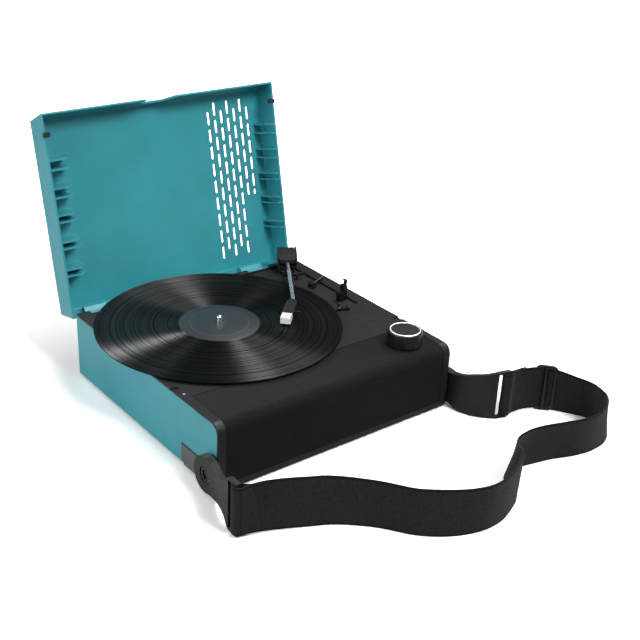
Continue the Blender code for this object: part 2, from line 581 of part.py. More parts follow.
def tonearm(dark_mat, tube_mat, shell_mat, cartridge_mat, stylus_mat, weight_mat, axis):
    bm = bmesh.new()
    outline = [(-6 * MM, -2.2 * MM), (10 * MM, -2.2 * MM), (13 * MM, 0), (13 * MM, 5 * MM),
               (9 * MM, 10.5 * MM), (-6 * MM, 12.5 * MM)]
    add_prism(bm, outline, -10.3 * MM, 10.3 * MM, "Y")
    block = make("tonearm_block", bm, dark_mat, parent=axis)
    bm = bmesh.new()
    add_cylinder(bm, 1.8 * MM, -12.6 * MM, 12.6 * MM, 16, along_y())
    tool(block, bm, "UNION", "trunnions")
    bm = bmesh.new()
    add_cylinder(bm, TUBE_RADIUS + GAP, 4 * MM, 30 * MM, 20, along_x())
    tool(block, bm, "DIFFERENCE", "tube_bore")

    bm = bmesh.new()
    rear, front = -16 * MM, -6 * MM - GAP
    outline = [(rear, -2 * MM), (front, -2 * MM), (front, 12 * MM), (-14.5 * MM, 12.8 * MM), (rear, 11 * MM)]
    add_prism(bm, outline, -10.1 * MM, 10.1 * MM, "Y")
    make("counterweight", bm, weight_mat, parent=axis)

    bm = bmesh.new()
    add_cylinder(bm, TUBE_RADIUS, 4 * MM + GAP, TUBE_LENGTH, 20, along_x())
    make("tonearm_tube", bm, tube_mat, parent=axis)

    head = Matrix.Translation((TUBE_LENGTH, 0, 0)) @ Matrix.Rotation(SHELL_OFFSET, 4, "Z")
    bm = bmesh.new()
    sections = []
    stations = ((1.3, 3.2, -3, 3), (6, 4.2, -3.2, 3.4), (10, 6.5, -1.5, 3.2), (36, 7.2, -1, 1.8),
                (40, 6.4, -0.8, 1.2))  # place, half width, bottom and top, in mm
    for station in stations:
        x, w, b, t = (v * MM for v in station)
        sections.append([(x, -w, b), (x, w, b), (x, w, t), (x, -w, t)])
    add_loft(bm, sections)
    bmesh.ops.transform(bm, matrix=head, verts=bm.verts[:])
    shell = make("headshell", bm, shell_mat, parent=axis)
    bm = bmesh.new()
    add_prism(bm, rounded_rectangle(30 * MM, 33 * MM, 5 * MM, 15 * MM, 1.2 * MM), -0.9 * MM, 0.5 * MM)
    bmesh.ops.transform(bm, matrix=head, verts=bm.verts[:])
    tool(shell, bm, "UNION", "finger_lift")

    bm = bmesh.new()
    side = [(38.5 * MM, -7.6 * MM), (50 * MM, -8.8 * MM), (54 * MM, -8 * MM), (54 * MM, 0.2 * MM),
            (51.5 * MM, 1.2 * MM), (40.5 * MM, 1.2 * MM), (40.5 * MM, -1.3 * MM), (38.5 * MM, -1.3 * MM)]
    add_prism(bm, side, -6.2 * MM, 6.2 * MM, "Y")
    bmesh.ops.transform(bm, matrix=head, verts=bm.verts[:])
    make("cartridge", bm, cartridge_mat, parent=axis)

    bm = bmesh.new()
    root = [(45, -1, -8.8), (50, -1, -9.15), (50, 1, -9.15), (45, 1, -8.8)]
    tip = [(48.5, -0.3, -9.5), (49.4, -0.3, -9.5), (49.4, 0.3, -9.5), (48.5, 0.3, -9.5)]
    add_loft(bm, [root, tip])
    bmesh.ops.scale(bm, vec=(MM, MM, MM), verts=bm.verts[:])
    bmesh.ops.transform(bm, matrix=head, verts=bm.verts[:])
    make("stylus", bm, stylus_mat, parent=axis)


def arm_rest(mat, clip_mat):
    """A shelf and a back post that hold the parked tube, and the clip that locks it."""
    low, shelf, top = PAN_TOP + GAP, ARM_Z - TUBE_RADIUS - GAP, ARM_Z + 4.5 * MM
    x0, x1, x2 = REST_X - 4.5 * MM, REST_X + 3.2 * MM, REST_X + 8 * MM
    bm = bmesh.new()
    outline = [(x0 + 2 * MM, low), (x2, low), (x2, top), (x1 + 1 * MM, top), (x1, top - 1.5 * MM),
               (x1, shelf), (x0, shelf), (x0, shelf - 2 * MM), (x0 + 2 * MM, shelf - 4 * MM)]
    add_prism(bm, outline, REST_Y - 4.5 * MM, REST_Y + 4.5 * MM, "Y")
    rest = make("arm_rest", bm, mat)
    axis_x, axis_z = REST_X + 6 * MM, ARM_Z + 2.5 * MM
    bm = bmesh.new()
    add_box(bm, x1 - 1 * MM, x2 + 1 * MM, REST_Y - 3 * MM, REST_Y + 3 * MM, axis_z - 2.4 * MM, 2 * HEIGHT)
    tool(rest, bm, "DIFFERENCE", "clip_slot")
    bm = bmesh.new()
    add_cylinder(bm, 1.3 * MM, -6 * MM, 6 * MM, 12, along_y(axis_x, REST_Y, axis_z))
    tool(rest, bm, "DIFFERENCE", "clip_bore")

    clip_axis = empty("arm_clip_axis", (axis_x, REST_Y, axis_z), (0, math.radians(100), 0))
    bm = bmesh.new()
    hook = [(-8.6 * MM, 2 * MM), (-10 * MM, 1 * MM), (-10 * MM, -2.6 * MM), (-8.9 * MM, -2.6 * MM),
            (-8.3 * MM, 0.4 * MM), (-3 * MM, 0.4 * MM)]
    add_prism(bm, arc(0, 0, 2 * MM, -90, 90, 6) + hook, -2.7 * MM, 2.7 * MM, "Y")
    clip = make("arm_clip", bm, clip_mat, parent=clip_axis)
    bm = bmesh.new()
    add_cylinder(bm, 1 * MM, -4.2 * MM, 4.2 * MM, 12, along_y())
    tool(clip, bm, "UNION", "pin")


def lift_post_place():
    angle = math.radians(LIFT_POST_BEARING)
    return Vector((ARM_X + LIFT_RADIUS * math.cos(angle), ARM_Y + LIFT_RADIUS * math.sin(angle), 0))


def cueing(lever_mat, bar_mat):
    """The lever that a finger raises, and the curved bar that it lifts under the arm."""
    axis = empty("cue_lever_axis", (CUE_X, CUE_Y, CUE_Z), (0, 0, CUE_HEADING))
    bm = bmesh.new()
    add_cylinder(bm, 2.6 * MM, -3 * MM, 3 * MM, 16, along_y())
    lever = make("cue_lever", bm, lever_mat, parent=axis)
    bm = bmesh.new()
    add_lathe(bm, [(0, 0), (1.6 * MM, 0), (1.6 * MM, 17 * MM), (2.3 * MM, 19 * MM), (2.3 * MM, 25 * MM),
                   (1.4 * MM, 26 * MM), (0, 26 * MM)], 16, Matrix.Rotation(math.radians(85), 4, "Y"))
    tool(lever, bm, "UNION", "handle")
    bm = bmesh.new()
    add_cylinder(bm, 1.2 * MM, -4.8 * MM, 4.8 * MM, 12, along_y())
    tool(lever, bm, "UNION", "pin")

    bm = bmesh.new()
    first, last, half_width = LIFT_POST_BEARING - 31, LIFT_POST_BEARING + 22, 1.5 * MM
    outer = arc(ARM_X, ARM_Y, LIFT_RADIUS + half_width, first, last, 14)
    inner = arc(ARM_X, ARM_Y, LIFT_RADIUS - half_width, first, last, 14)
    top = ARM_Z - TUBE_RADIUS - 4.5 * MM
    add_prism(bm, outer + inner[::-1], top - 3 * MM, top)
    bar = make("cue_lift_bar", bm, bar_mat)
    bm = bmesh.new()
    add_cylinder(bm, 2 * MM, PAN_TOP - 8 * MM, top - 1 * MM, 16, Matrix.Translation(lift_post_place()))
    tool(bar, bm, "UNION", "post")


# ---------------------------------------------------------------- controls

def volume_knob(knob_mat, ring_mat, cap_mat, body_mat, shaft_mat):
    spot = Vector((KNOB_X, KNOB_Y, 0))
    place = Matrix.Translation(spot)
    shaft_radius = 3 * MM
    ring_out, ring_in = KNOB_RADIUS - 2 * MM, KNOB_RADIUS - 3.8 * MM

    bm = bmesh.new()
    bore = shaft_radius + GAP
    add_lathe(bm, [(0, KNOB_TOP - 6 * MM), (bore, KNOB_TOP - 6 * MM), (bore, KNOB_BOTTOM),
                   (KNOB_RADIUS + 0.6 * MM, KNOB_BOTTOM), (KNOB_RADIUS, KNOB_TOP - 2.5 * MM),
                   (KNOB_RADIUS - 0.6 * MM, KNOB_TOP - 1 * MM), (ring_out + GAP, KNOB_TOP - 0.5 * MM),
                   (ring_out + GAP, KNOB_TOP - 2.5 * MM), (0, KNOB_TOP - 2.5 * MM)], 48, place)
    make("volume_knob", bm, knob_mat, shift=spot)

    bm = bmesh.new()
    low = KNOB_TOP - 2.5 * MM + GAP
    shoulder = KNOB_TOP - 0.4 * MM
    add_lathe(bm, [(ring_in, low), (ring_out, low), (ring_out, shoulder), (ring_out - 0.5 * MM, KNOB_TOP),
                   (ring_in + 0.4 * MM, KNOB_TOP), (ring_in, shoulder)], 48, place)
    make("knob_ring", bm, ring_mat, shift=spot)

    bm = bmesh.new()
    radius = ring_in - GAP
    profile = [(0, low), (radius, low), (radius, KNOB_TOP - 1 * MM), (radius - 1 * MM, KNOB_TOP - 0.5 * MM),
               (0, KNOB_TOP - 0.3 * MM)]
    add_lathe(bm, profile, 48, place)
    make("knob_cap", bm, cap_mat, shift=spot)

    bm = bmesh.new()
    add_box(bm, KNOB_X - 7 * MM, KNOB_X + 7 * MM, KNOB_Y - 7 * MM, KNOB_Y + 7 * MM, 64 * MM, 72 * MM)
    encoder = make("encoder_body", bm, body_mat)
    bm = bmesh.new()
    add_cylinder(bm, 3.4 * MM, 67 * MM, HEIGHT, 20, place)
    tool(encoder, bm, "DIFFERENCE", "shaft_bore")
    bm = bmesh.new()
    add_cylinder(bm, shaft_radius, 69 * MM, KNOB_TOP - 6 * MM - GAP, 20, place)
    make("encoder_shaft", bm, shaft_mat, shift=spot)


def speed_selector(base_mat, lever_mat):
    """A low bar on the deck with an upright lever pivoting at its left end."""
    axis = empty("speed_lever_axis", (SELECTOR_X, SELECTOR_Y, HEIGHT + 2.6 * MM), (0, 0, SELECTOR_HEADING))
    low = GAP - 2.6 * MM
    bm = bmesh.new()
    add_prism(bm, rectangle(2.3 * MM, 12 * MM, -1.8 * MM, 1.8 * MM), low, 0.6 * MM)
    base = make("speed_selector_base", bm, base_mat, parent=axis)
    bm = bmesh.new()
    add_lathe(bm, [(0, low), (2.8 * MM, low), (2.8 * MM, 2 * MM), (2.2 * MM, 2.6 * MM), (0, 2.6 * MM)], 20,
              Matrix.Translation((12.5 * MM, 0, 0)))
    tool(base, bm, "UNION", "end_stop")
    bm = bmesh.new()
    add_cylinder(bm, 2.2 * MM, -2 * MM, 2 * MM, 16, along_x())
    lever = make("speed_lever", bm, lever_mat, parent=axis)
    bm = bmesh.new()
    add_lathe(bm, [(0, 0), (1.3 * MM, 0), (1.3 * MM, 5 * MM), (1.8 * MM, 5.5 * MM), (1.8 * MM, 7 * MM),
                   (1.2 * MM, 7.8 * MM), (0, 7.8 * MM)], 12)
    tool(lever, bm, "UNION", "stick")


def indicator(mat):
    bm = bmesh.new()
    radius, low = 1.5 * MM, HEIGHT - WALL + GAP
    add_lathe(bm, [(0, low), (radius, low), (radius, HEIGHT), (0, HEIGHT + 0.5 * MM)], 16,
              Matrix.Translation((INDICATOR_X, INDICATOR_Y, 0)))
    make("indicator_lens", bm, mat)


# ---------------------------------------------------------------- lid, built closed and turned open

def lid_z(depth):
    """A height in the closed lid, counted up from its rim."""
    return LID_RIM_Z + depth - HINGE_Z


def lid_y(along):
    """A place in the closed lid, counted forward from its hinge edge."""
    return -along


def lid_outer(bm):
    edge = lid_y(LID_LENGTH)
    outline = [(0, lid_z(0)), (edge, lid_z(0)), (edge + LID_SLOPE, lid_z(LID_DEPTH)), (0, lid_z(LID_DEPTH))]
    add_prism(bm, outline, -LID_HALF, LID_HALF, "X")
    bmesh.ops.recalc_face_normals(bm, faces=bm.faces[:])
    top = lid_z(LID_DEPTH) - 1 * MM
    bevel_edges(bm, 2.6 * MM, 4, lambda co: co.z > top)
    bevel_edges(bm, 1.6 * MM, 3, lambda co: abs(co.x) > LID_HALF - 0.01 * MM and co.y < edge + LID_SLOPE)


def lid_inner(bm):
    edge = lid_y(LID_LENGTH) + WALL * math.hypot(1, LID_SLOPE / LID_DEPTH)
    slope = LID_SLOPE / LID_DEPTH
    low, high = -4 * MM, LID_DEPTH - WALL
    outline = [(-WALL, lid_z(low)), (edge + low * slope, lid_z(low)), (edge + high * slope, lid_z(high)),
               (-WALL, lid_z(high))]
    add_prism(bm, outline, -LID_HALF + WALL, LID_HALF - WALL, "X")
    bmesh.ops.recalc_face_normals(bm, faces=bm.faces[:])
    bevel_edges(bm, 1.5 * MM, 2, lambda co: co.z > lid_z(high) - 1 * MM)


def slot_outlines():
    """Seven columns of round-ended slots, every second one shifted half a pitch."""
    pitch, length, width = 23.05 * MM, 18 * MM, 4.4 * MM
    for column, count in enumerate((9, 9, 9, 9, 9, 6, 5)):
        x = (82.4 + 10.35 * column) * MM
        first = (221.8 if column % 2 == 0 else 233.4) * MM - length / 2
        for row in range(count):
            yield stadium(x, lid_y(first - row * pitch), length, width)
    yield stadium(144.5 * MM, lid_y(104 * MM), 8 * MM, width)


def rib_outline(side):
    """One rib in the lid, seen along the hinge: from the side wall in to its end, as (x, z)."""
    wall = side * (LID_HALF - 1 * MM)
    if side < 0:
        ends = ((-145 * MM, 1), (-133 * MM, 17), (-132 * MM, 34))
    else:
        ends = ((160 * MM, 1), (156.5 * MM, 14), (152.5 * MM, 34))
    return [(wall, lid_z(1 * MM))] + [(x, lid_z(b * MM)) for x, b in ends] + [(wall, lid_z(34 * MM))]


def add_lid_ribs(bm):
    thickness = 2.2 * MM
    for along, space in ((190, 11.5), (156, 11.5), (124.5, 8.5), (91.5, 8.5), (57, 8)):
        for offset in (-space / 2, space / 2):
            y = lid_y((along + offset) * MM)
            for side in (-1, 1):
                add_prism(bm, rib_outline(side), y - thickness / 2, y + thickness / 2, "Y")


def add_hinge_arms(bm):
    """Knuckles on the lid's rear wall that reach down to the pins."""
    for x0, x1 in HINGE_SPANS.values():
        knuckle = arc(0, 0, KNUCKLE_RADIUS, 0, -180, 10)
        outline = [(-0.3 * MM, lid_z(1 * MM))] + knuckle + [(-KNUCKLE_RADIUS, lid_z(3 * MM))]
        outline += [(-9 * MM, lid_z(6 * MM)), (-9 * MM, lid_z(14 * MM)), (-WALL / 2, lid_z(14 * MM)),
                    (-0.3 * MM, lid_z(10 * MM))]
        add_prism(bm, outline, x0, x1, "X")


def lid(shell_mat, bumper_mat, pin_mat):
    axis = empty("lid_axis", (0, HINGE_Y, HINGE_Z), (-OPEN_ANGLE, 0, 0))
    bm = bmesh.new()
    lid_outer(bm)
    shell = make("lid_shell", bm, shell_mat, parent=axis)
    bm = bmesh.new()
    lid_inner(bm)
    tool(shell, bm, "DIFFERENCE", "inside")
    bm = bmesh.new()
    add_lid_ribs(bm)
    add_hinge_arms(bm)
    tool(shell, bm, "UNION", "ribs_and_arms")

    bm = bmesh.new()
    for outline in slot_outlines():
        add_prism(bm, outline, lid_z(LID_DEPTH - 2 * WALL), lid_z(LID_DEPTH + WALL))
    finger = [(-24 * MM, lid_z(-2 * MM)), (20 * MM, lid_z(-2 * MM)), (5 * MM, lid_z(15 * MM)),
              (-16 * MM, lid_z(17 * MM)), (-32 * MM, lid_z(9 * MM))]
    edge = lid_y(LID_LENGTH)
    add_prism(bm, finger, edge - 5 * MM, edge + 15 * MM, "Y")
    for x0, x1 in HINGE_SPANS.values():
        add_cylinder(bm, PIN_BORE, x0 - 3 * MM, x1 + 3 * MM, 16, along_x())
    for side in (-1, 1):
        x0, x1 = sorted((side * (WIDTH / 2 - 3 * WALL), side * WIDTH))
        y = BUMPER_Y - HINGE_Y
        reach = BUMPER_HALF + GAP
        add_box(bm, x0, x1, y - reach, y + reach, lid_z(-3 * MM), lid_z(3 * MM))
    tool(shell, bm, "DIFFERENCE", "openings")

    for side, name in ((-1, "left"), (1, "right")):
        y = BUMPER_Y - HINGE_Y
        x0, x1 = sorted((side * (LID_HALF - 8 * MM), side * (LID_HALF + 0.6 * MM)))
        bm = bmesh.new()
        outline = rounded_rectangle(x0, x1, y - BUMPER_HALF, y + BUMPER_HALF, 1.5 * MM, 3)
        add_prism(bm, outline, lid_z(-1.6 * MM), lid_z(2.7 * MM))
        make(f"lid_bumper_{name}", bm, bumper_mat, parent=axis)
        x0, x1 = HINGE_SPANS[name]
        reach = HINGE_CLEARANCE + HINGE_EAR
        bm = bmesh.new()
        add_cylinder(bm, PIN_RADIUS, x0 - reach, x1 + reach, 16, along_x(0, HINGE_Y, HINGE_Z))
        make(f"hinge_pin_{name}", bm, pin_mat)


# ---------------------------------------------------------------- carry strap

def smooth_path(points, steps):
    """A smooth curve through plan points, by Catmull-Rom spans."""
    ends = [2 * Vector(points[0]) - Vector(points[1])] + [Vector(p) for p in points]
    ends.append(2 * ends[-1] - ends[-2])
    path = []
    for a, b, c, d in zip(ends, ends[1:], ends[2:], ends[3:]):
        for i in range(steps):
            t = i / steps
            bend = (2 * a - 5 * b + 4 * c - d) * t**2 + (3 * b - a - 3 * c + d) * t**3
            path.append(0.5 * (2 * b + (c - a) * t + bend))
    path.append(ends[-2])
    return path


def side_normals(path):
    """Unit vectors to the right of a plan path."""
    normals = []
    for i in range(len(path)):
        run = path[min(i + 1, len(path) - 1)] - path[max(i - 1, 0)]
        normals.append(Vector((run.y, -run.x)).normalized())
    return normals


def strap_path():
    """The webbing's plan: from the left lug across the front, then round a loop to the right lug."""
    front = ((-188, -232.5), (-166, -238.5), (-140, -247), (-118, -255.5), (-100, -265), (-81, -281),
             (-63, -300.5), (-41, -329), (-14, -351), (22, -365), (55, -363), (76, -354.5), (92, -345.5))
    bends = ((102, -334), (111, -321), (121, -312.5), (137, -309.5), (162, -312.5), (205, -327), (229, -332),
             (247, -331), (262, -326), (276, -315), (286, -300), (289, -283), (285, -266), (277, -250))
    back = [(ADJUSTER_X + along * RUN_X, ADJUSTER_Y + along * RUN_Y) for along in (9.5, 0, -9.5)]
    end = ((246, -222.2), (237, -220.6), (226, -219), (214.5, -217.9))
    return smooth_path([(x * MM, y * MM) for x, y in (*front, *bends, *back, *end)], 2)


def webbing(mat, axis_point, axis):
    path = strap_path()
    sections = []
    for p, n in zip(path, side_normals(path)):
        half = n * STRAP_THICK / 2
        sections.append(upright(p + half, p - half, STRAP_LOW, STRAP_LOW + STRAP_WIDTH))
    bm = bmesh.new()
    add_loft(bm, sections)
    bmesh.ops.translate(bm, verts=bm.verts[:], vec=-axis_point)
    make("strap_webbing", bm, mat, parent=axis)


def lug_stations(side):
    """A lug's plan path with its lower and upper edges: a disc that fans out into a tall slotted end."""
    disc = [(STRAP_Y + STRAP_DISC * math.cos(a), STRAP_DISC * math.sin(a))
            for a in (math.radians(v) for v in (4, 20, 36, 52, 70, 90, 112))]
    stations = [(side * LUG_X, y, STRAP_Z - h, STRAP_Z + h, 4.5 * MM) for y, h in disc]
    if side < 0:
        fan = ((-176.5, -172, 4, 43, 3.6), (-180.5, -184, 7, 44, 2.8), (-184, -195, 8, 46, 2.6),
               (-186.5, -205, 5, 51, 2.6), (-188, -211, -1, 58, 2.6), (-188.5, -215, -2.4, 60.4, 2.8),
               (-189, -230, -2.4, 60.4, 2.8))
    else:
        fan = ((173, -171, -1, 46, 4), (174, -181, -2, 49, 3.2), (178, -192, -2, 53, 2.6),
               (186, -203.5, -2, 56, 2.6), (194, -210.5, -2.2, 59, 2.6), (199, -213.8, -2.4, 60.4, 2.8),
               (212, -217.5, -2.4, 60.4, 2.8))
    return stations + [(x * MM, y * MM, low * MM, high * MM, half * MM) for x, y, low, high, half in fan]


def upright(a, b, low, high):
    """A loop that stands on the plan points a and b."""
    return [(a.x, a.y, low), (b.x, b.y, low), (b.x, b.y, high), (a.x, a.y, high)]


def strap_lug(name, side, mat, axis_point, axis):
    """A moulded lug that turns on the strap's screw and holds the webbing in a tall slot."""
    stations = lug_stations(side)
    path = [Vector((x, y)) for x, y, *_ in stations]
    sections = []
    for (x, y, low, high, half), n in zip(stations, side_normals(path)):
        p = Vector((x, y))
        sections.append(upright(p + n * half, p - n * half, low, high))
    bm = bmesh.new()
    add_loft(bm, sections)
    bmesh.ops.translate(bm, verts=bm.verts[:], vec=-axis_point)
    lug = make(name, bm, mat, parent=axis)

    run = (path[-1] - path[-2]).normalized()
    across = Vector((run.y, -run.x)) * 8 * MM
    bm = bmesh.new()
    sections = []
    for step in (-SLOT_HALF, SLOT_HALF):
        p = path[-1] + run * (step - SLOT_BACK)
        sections.append(upright(p + across, p - across, SLOT_LOW, SLOT_HIGH))
    add_loft(bm, sections)
    bmesh.ops.translate(bm, verts=bm.verts[:], vec=-axis_point)
    tool(lug, bm, "DIFFERENCE", "webbing_slot")

    cuts = ((SCREW_BORE, LUG_X - 14 * MM, 20, "bore"), (SCREW_HEAD + 0.4 * MM, LUG_FACE, 24, "screw_recess"))
    for radius, start, segments, part in cuts:
        bm = bmesh.new()
        add_cylinder(bm, radius, *sorted((side * start, side * (LUG_FACE + 10 * MM))), segments, along_x())
        tool(lug, bm, "DIFFERENCE", part)


def strap_mount(name, side, mat):
    """The textured bar in the casing's notch that the lug is screwed to."""
    x0, x1 = sorted((side * 161.8 * MM, side * 169.2 * MM))
    front, rear, low, high = -156.2 * MM, NOTCH_Y - 3 * MM, 1.5 * MM, NOTCH_Z - 1.2 * MM
    bm = bmesh.new()
    outline = [(rear, 9 * MM), (rear, high), (front, high), (front, low), (rear - 6 * MM, low)]
    add_prism(bm, outline, x0, x1, "X")
    mount = make(name, bm, mat)
    bm = bmesh.new()
    ends = sorted((side * SCREW_END, side * LUG_FACE))
    add_cylinder(bm, SCREW_BORE, *ends, 20, along_x(0, STRAP_Y, STRAP_Z))
    tool(mount, bm, "DIFFERENCE", "screw_bore")


def strap_screw(name, side, mat):
    bm = bmesh.new()
    turn = Matrix.Translation((0, STRAP_Y, STRAP_Z)) @ Matrix.Rotation(side * math.pi / 2, 4, "Y")
    tip, shank, seat, crown = SCREW_END + 0.5 * MM, 3 * MM, LUG_FACE + 0.4 * MM, LUG_FACE + 2.8 * MM
    add_lathe(bm, [(0, tip), (shank, tip), (shank, seat), (SCREW_HEAD, seat), (SCREW_HEAD, crown - 0.6 * MM),
                   (SCREW_HEAD - 1 * MM, crown), (0, crown)], 24, turn)
    screw = make(name, bm, mat)
    bm = bmesh.new()
    star = []
    for i in range(2 * STAR_LOBES):
        radius, angle = (STAR_OUTER if i % 2 else STAR_INNER), math.pi * i / STAR_LOBES
        star.append((radius * math.cos(angle), radius * math.sin(angle)))
    add_prism(bm, star, seat + 0.5 * MM, crown + WALL)
    bmesh.ops.transform(bm, matrix=turn, verts=bm.verts[:])
    tool(screw, bm, "DIFFERENCE", "star_socket")


def strap_adjuster(mat, axis_point, axis):
    """The slide buckle round the webbing near its right end."""
    spot = Vector((ADJUSTER_X * MM, ADJUSTER_Y * MM, 0))
    place = Matrix.Translation(spot - axis_point) @ Matrix.Rotation(ADJUSTER_HEADING, 4, "Z")
    half_length, half_thickness, rim = 6 * MM, 4.2 * MM, 1.5 * MM
    low, high = STRAP_LOW, STRAP_LOW + STRAP_WIDTH
    bm = bmesh.new()
    add_box(bm, -half_length, half_length, -half_thickness, half_thickness, low - rim, high + 3 * rim)
    bmesh.ops.transform(bm, matrix=place, verts=bm.verts[:])
    buckle = make("strap_adjuster", bm, mat, parent=axis)
    bm = bmesh.new()
    opening = STRAP_THICK / 2 + 2 * GAP
    add_box(bm, -2 * half_length, 2 * half_length, -opening, opening, low - GAP, high + GAP)
    bmesh.ops.transform(bm, matrix=place, verts=bm.verts[:])
    tool(buckle, bm, "DIFFERENCE", "webbing_opening")


def carry_strap(lug_mat, web_mat, mount_mat, screw_mat):
    axis_point = Vector((0, STRAP_Y, STRAP_Z))
    axis = empty("strap_axis", axis_point)
    for side, name in ((-1, "left"), (1, "right")):
        strap_lug(f"strap_lug_{name}", side, lug_mat, axis_point, axis)
        strap_mount(f"strap_mount_{name}", side, mount_mat)
        strap_screw(f"strap_screw_{name}", side, screw_mat)
    webbing(web_mat, axis_point, axis)
    strap_adjuster(lug_mat, axis_point, axis)


# ---------------------------------------------------------------- assembly

def build():
    for obj in list(bpy.data.objects):
        bpy.data.objects.remove(obj, do_unlink=True)
    teal = material("teal plastic", TEAL, 0.42)
    deck_mat = material("charcoal deck", CHARCOAL, 0.55)
    dark = material("black plastic", BLACK, 0.45)
    rubber = material("rubber", (0.012, 0.012, 0.012), 0.8)
    cloth = material("speaker cloth", (0.012, 0.012, 0.012), 0.95)
    chrome = material("chrome", STEEL, 0.15, 1.0)
    steel = material("steel", (0.42, 0.42, 0.43), 0.35, 1.0)
    brass = material("brass", (0.70, 0.50, 0.22), 0.3, 1.0)
    cone = material("speaker cone", (0.05, 0.05, 0.05), 0.9)
    board = material("circuit board", (0.02, 0.16, 0.07), 0.5)
    battery = material("battery wrap", (0.05, 0.12, 0.35), 0.5)
    red = material("red plastic", (0.5, 0.02, 0.02), 0.4)
    white = material("white plastic", (0.75, 0.75, 0.73), 0.4)
    lens = material("indicator lens", (0.75, 0.75, 0.78), 0.2)
    web = material("webbing", (0.014, 0.014, 0.015), 0.9)
    grey = material("grey plastic", (0.085, 0.085, 0.088), 0.6)

    base_tub(teal)
    deck_frame(deck_mat)
    chassis_pan(dark)
    feet(rubber)
    speaker_section(cloth, dark, steel, cone)
    power_and_board(board, battery)
    sockets(dark, red, white, dark)
    turntable(dark, rubber, chrome, brass, rubber)
    drive(steel, brass)
    pedestal(dark)
    arm_axis = empty("tonearm_axis", (ARM_X, ARM_Y, ARM_Z), (0, 0, ARM_HEADING))
    turret(deck_mat, arm_axis)
    tonearm(deck_mat, chrome, deck_mat, white, dark, dark, arm_axis)
    arm_rest(dark, dark)
    cueing(dark, dark)
    volume_knob(dark, chrome, deck_mat, dark, steel)
    speed_selector(dark, dark)
    indicator(lens)
    lid(teal, rubber, steel)
    carry_strap(dark, web, grey, dark)


build()
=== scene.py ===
"""Materials, speaker cloth, webbing strap and studio for the suitcase record player's CAD frame."""
import json
import math

import bmesh
import bpy
from mathutils import Matrix, Vector

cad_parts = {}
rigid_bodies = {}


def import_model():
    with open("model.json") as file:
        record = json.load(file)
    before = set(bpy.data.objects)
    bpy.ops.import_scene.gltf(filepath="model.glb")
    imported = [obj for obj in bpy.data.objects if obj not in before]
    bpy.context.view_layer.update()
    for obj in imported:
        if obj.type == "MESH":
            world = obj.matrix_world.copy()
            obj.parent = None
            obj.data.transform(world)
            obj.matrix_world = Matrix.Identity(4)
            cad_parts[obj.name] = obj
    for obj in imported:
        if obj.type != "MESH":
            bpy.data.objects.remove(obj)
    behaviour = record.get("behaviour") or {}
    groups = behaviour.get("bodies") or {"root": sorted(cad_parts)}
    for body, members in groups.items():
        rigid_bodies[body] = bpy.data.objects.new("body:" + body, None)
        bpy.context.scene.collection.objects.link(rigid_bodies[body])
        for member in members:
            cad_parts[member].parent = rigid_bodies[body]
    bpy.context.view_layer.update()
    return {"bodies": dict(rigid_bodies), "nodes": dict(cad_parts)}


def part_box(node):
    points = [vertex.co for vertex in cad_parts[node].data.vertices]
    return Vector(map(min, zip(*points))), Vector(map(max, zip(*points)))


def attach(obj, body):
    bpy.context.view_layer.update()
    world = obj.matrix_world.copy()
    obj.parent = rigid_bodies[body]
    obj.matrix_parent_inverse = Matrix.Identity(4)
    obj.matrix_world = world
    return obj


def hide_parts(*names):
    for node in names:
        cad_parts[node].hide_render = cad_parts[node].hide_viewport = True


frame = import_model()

MM = 0.001
DECK_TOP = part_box("deck_frame")[1].z
FRONT_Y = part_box("deck_frame")[0].y
FLOOR_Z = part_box("foot_front_left")[0].z
SPINDLE = (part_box("spindle")[0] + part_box("spindle")[1]) / 2
MAT_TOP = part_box("platter_mat")[1].z
STRAP_WIDTH, STRAP_THICK, STRAP_HEM = 57 * MM, 2.2 * MM, 2.6 * MM
STRAP_SEAMS = (14 * MM, 32 * MM, 46 * MM, 1090 * MM)  # along the webbing, from its left end
WHITE = (1, 1, 1, 1)


# ---------------------------------------------------------------- material tools

AGREE_ON_FLAT, AGREE_ON_EDGE = 0.995, 0.8  # how far the rounded and flat normals agree


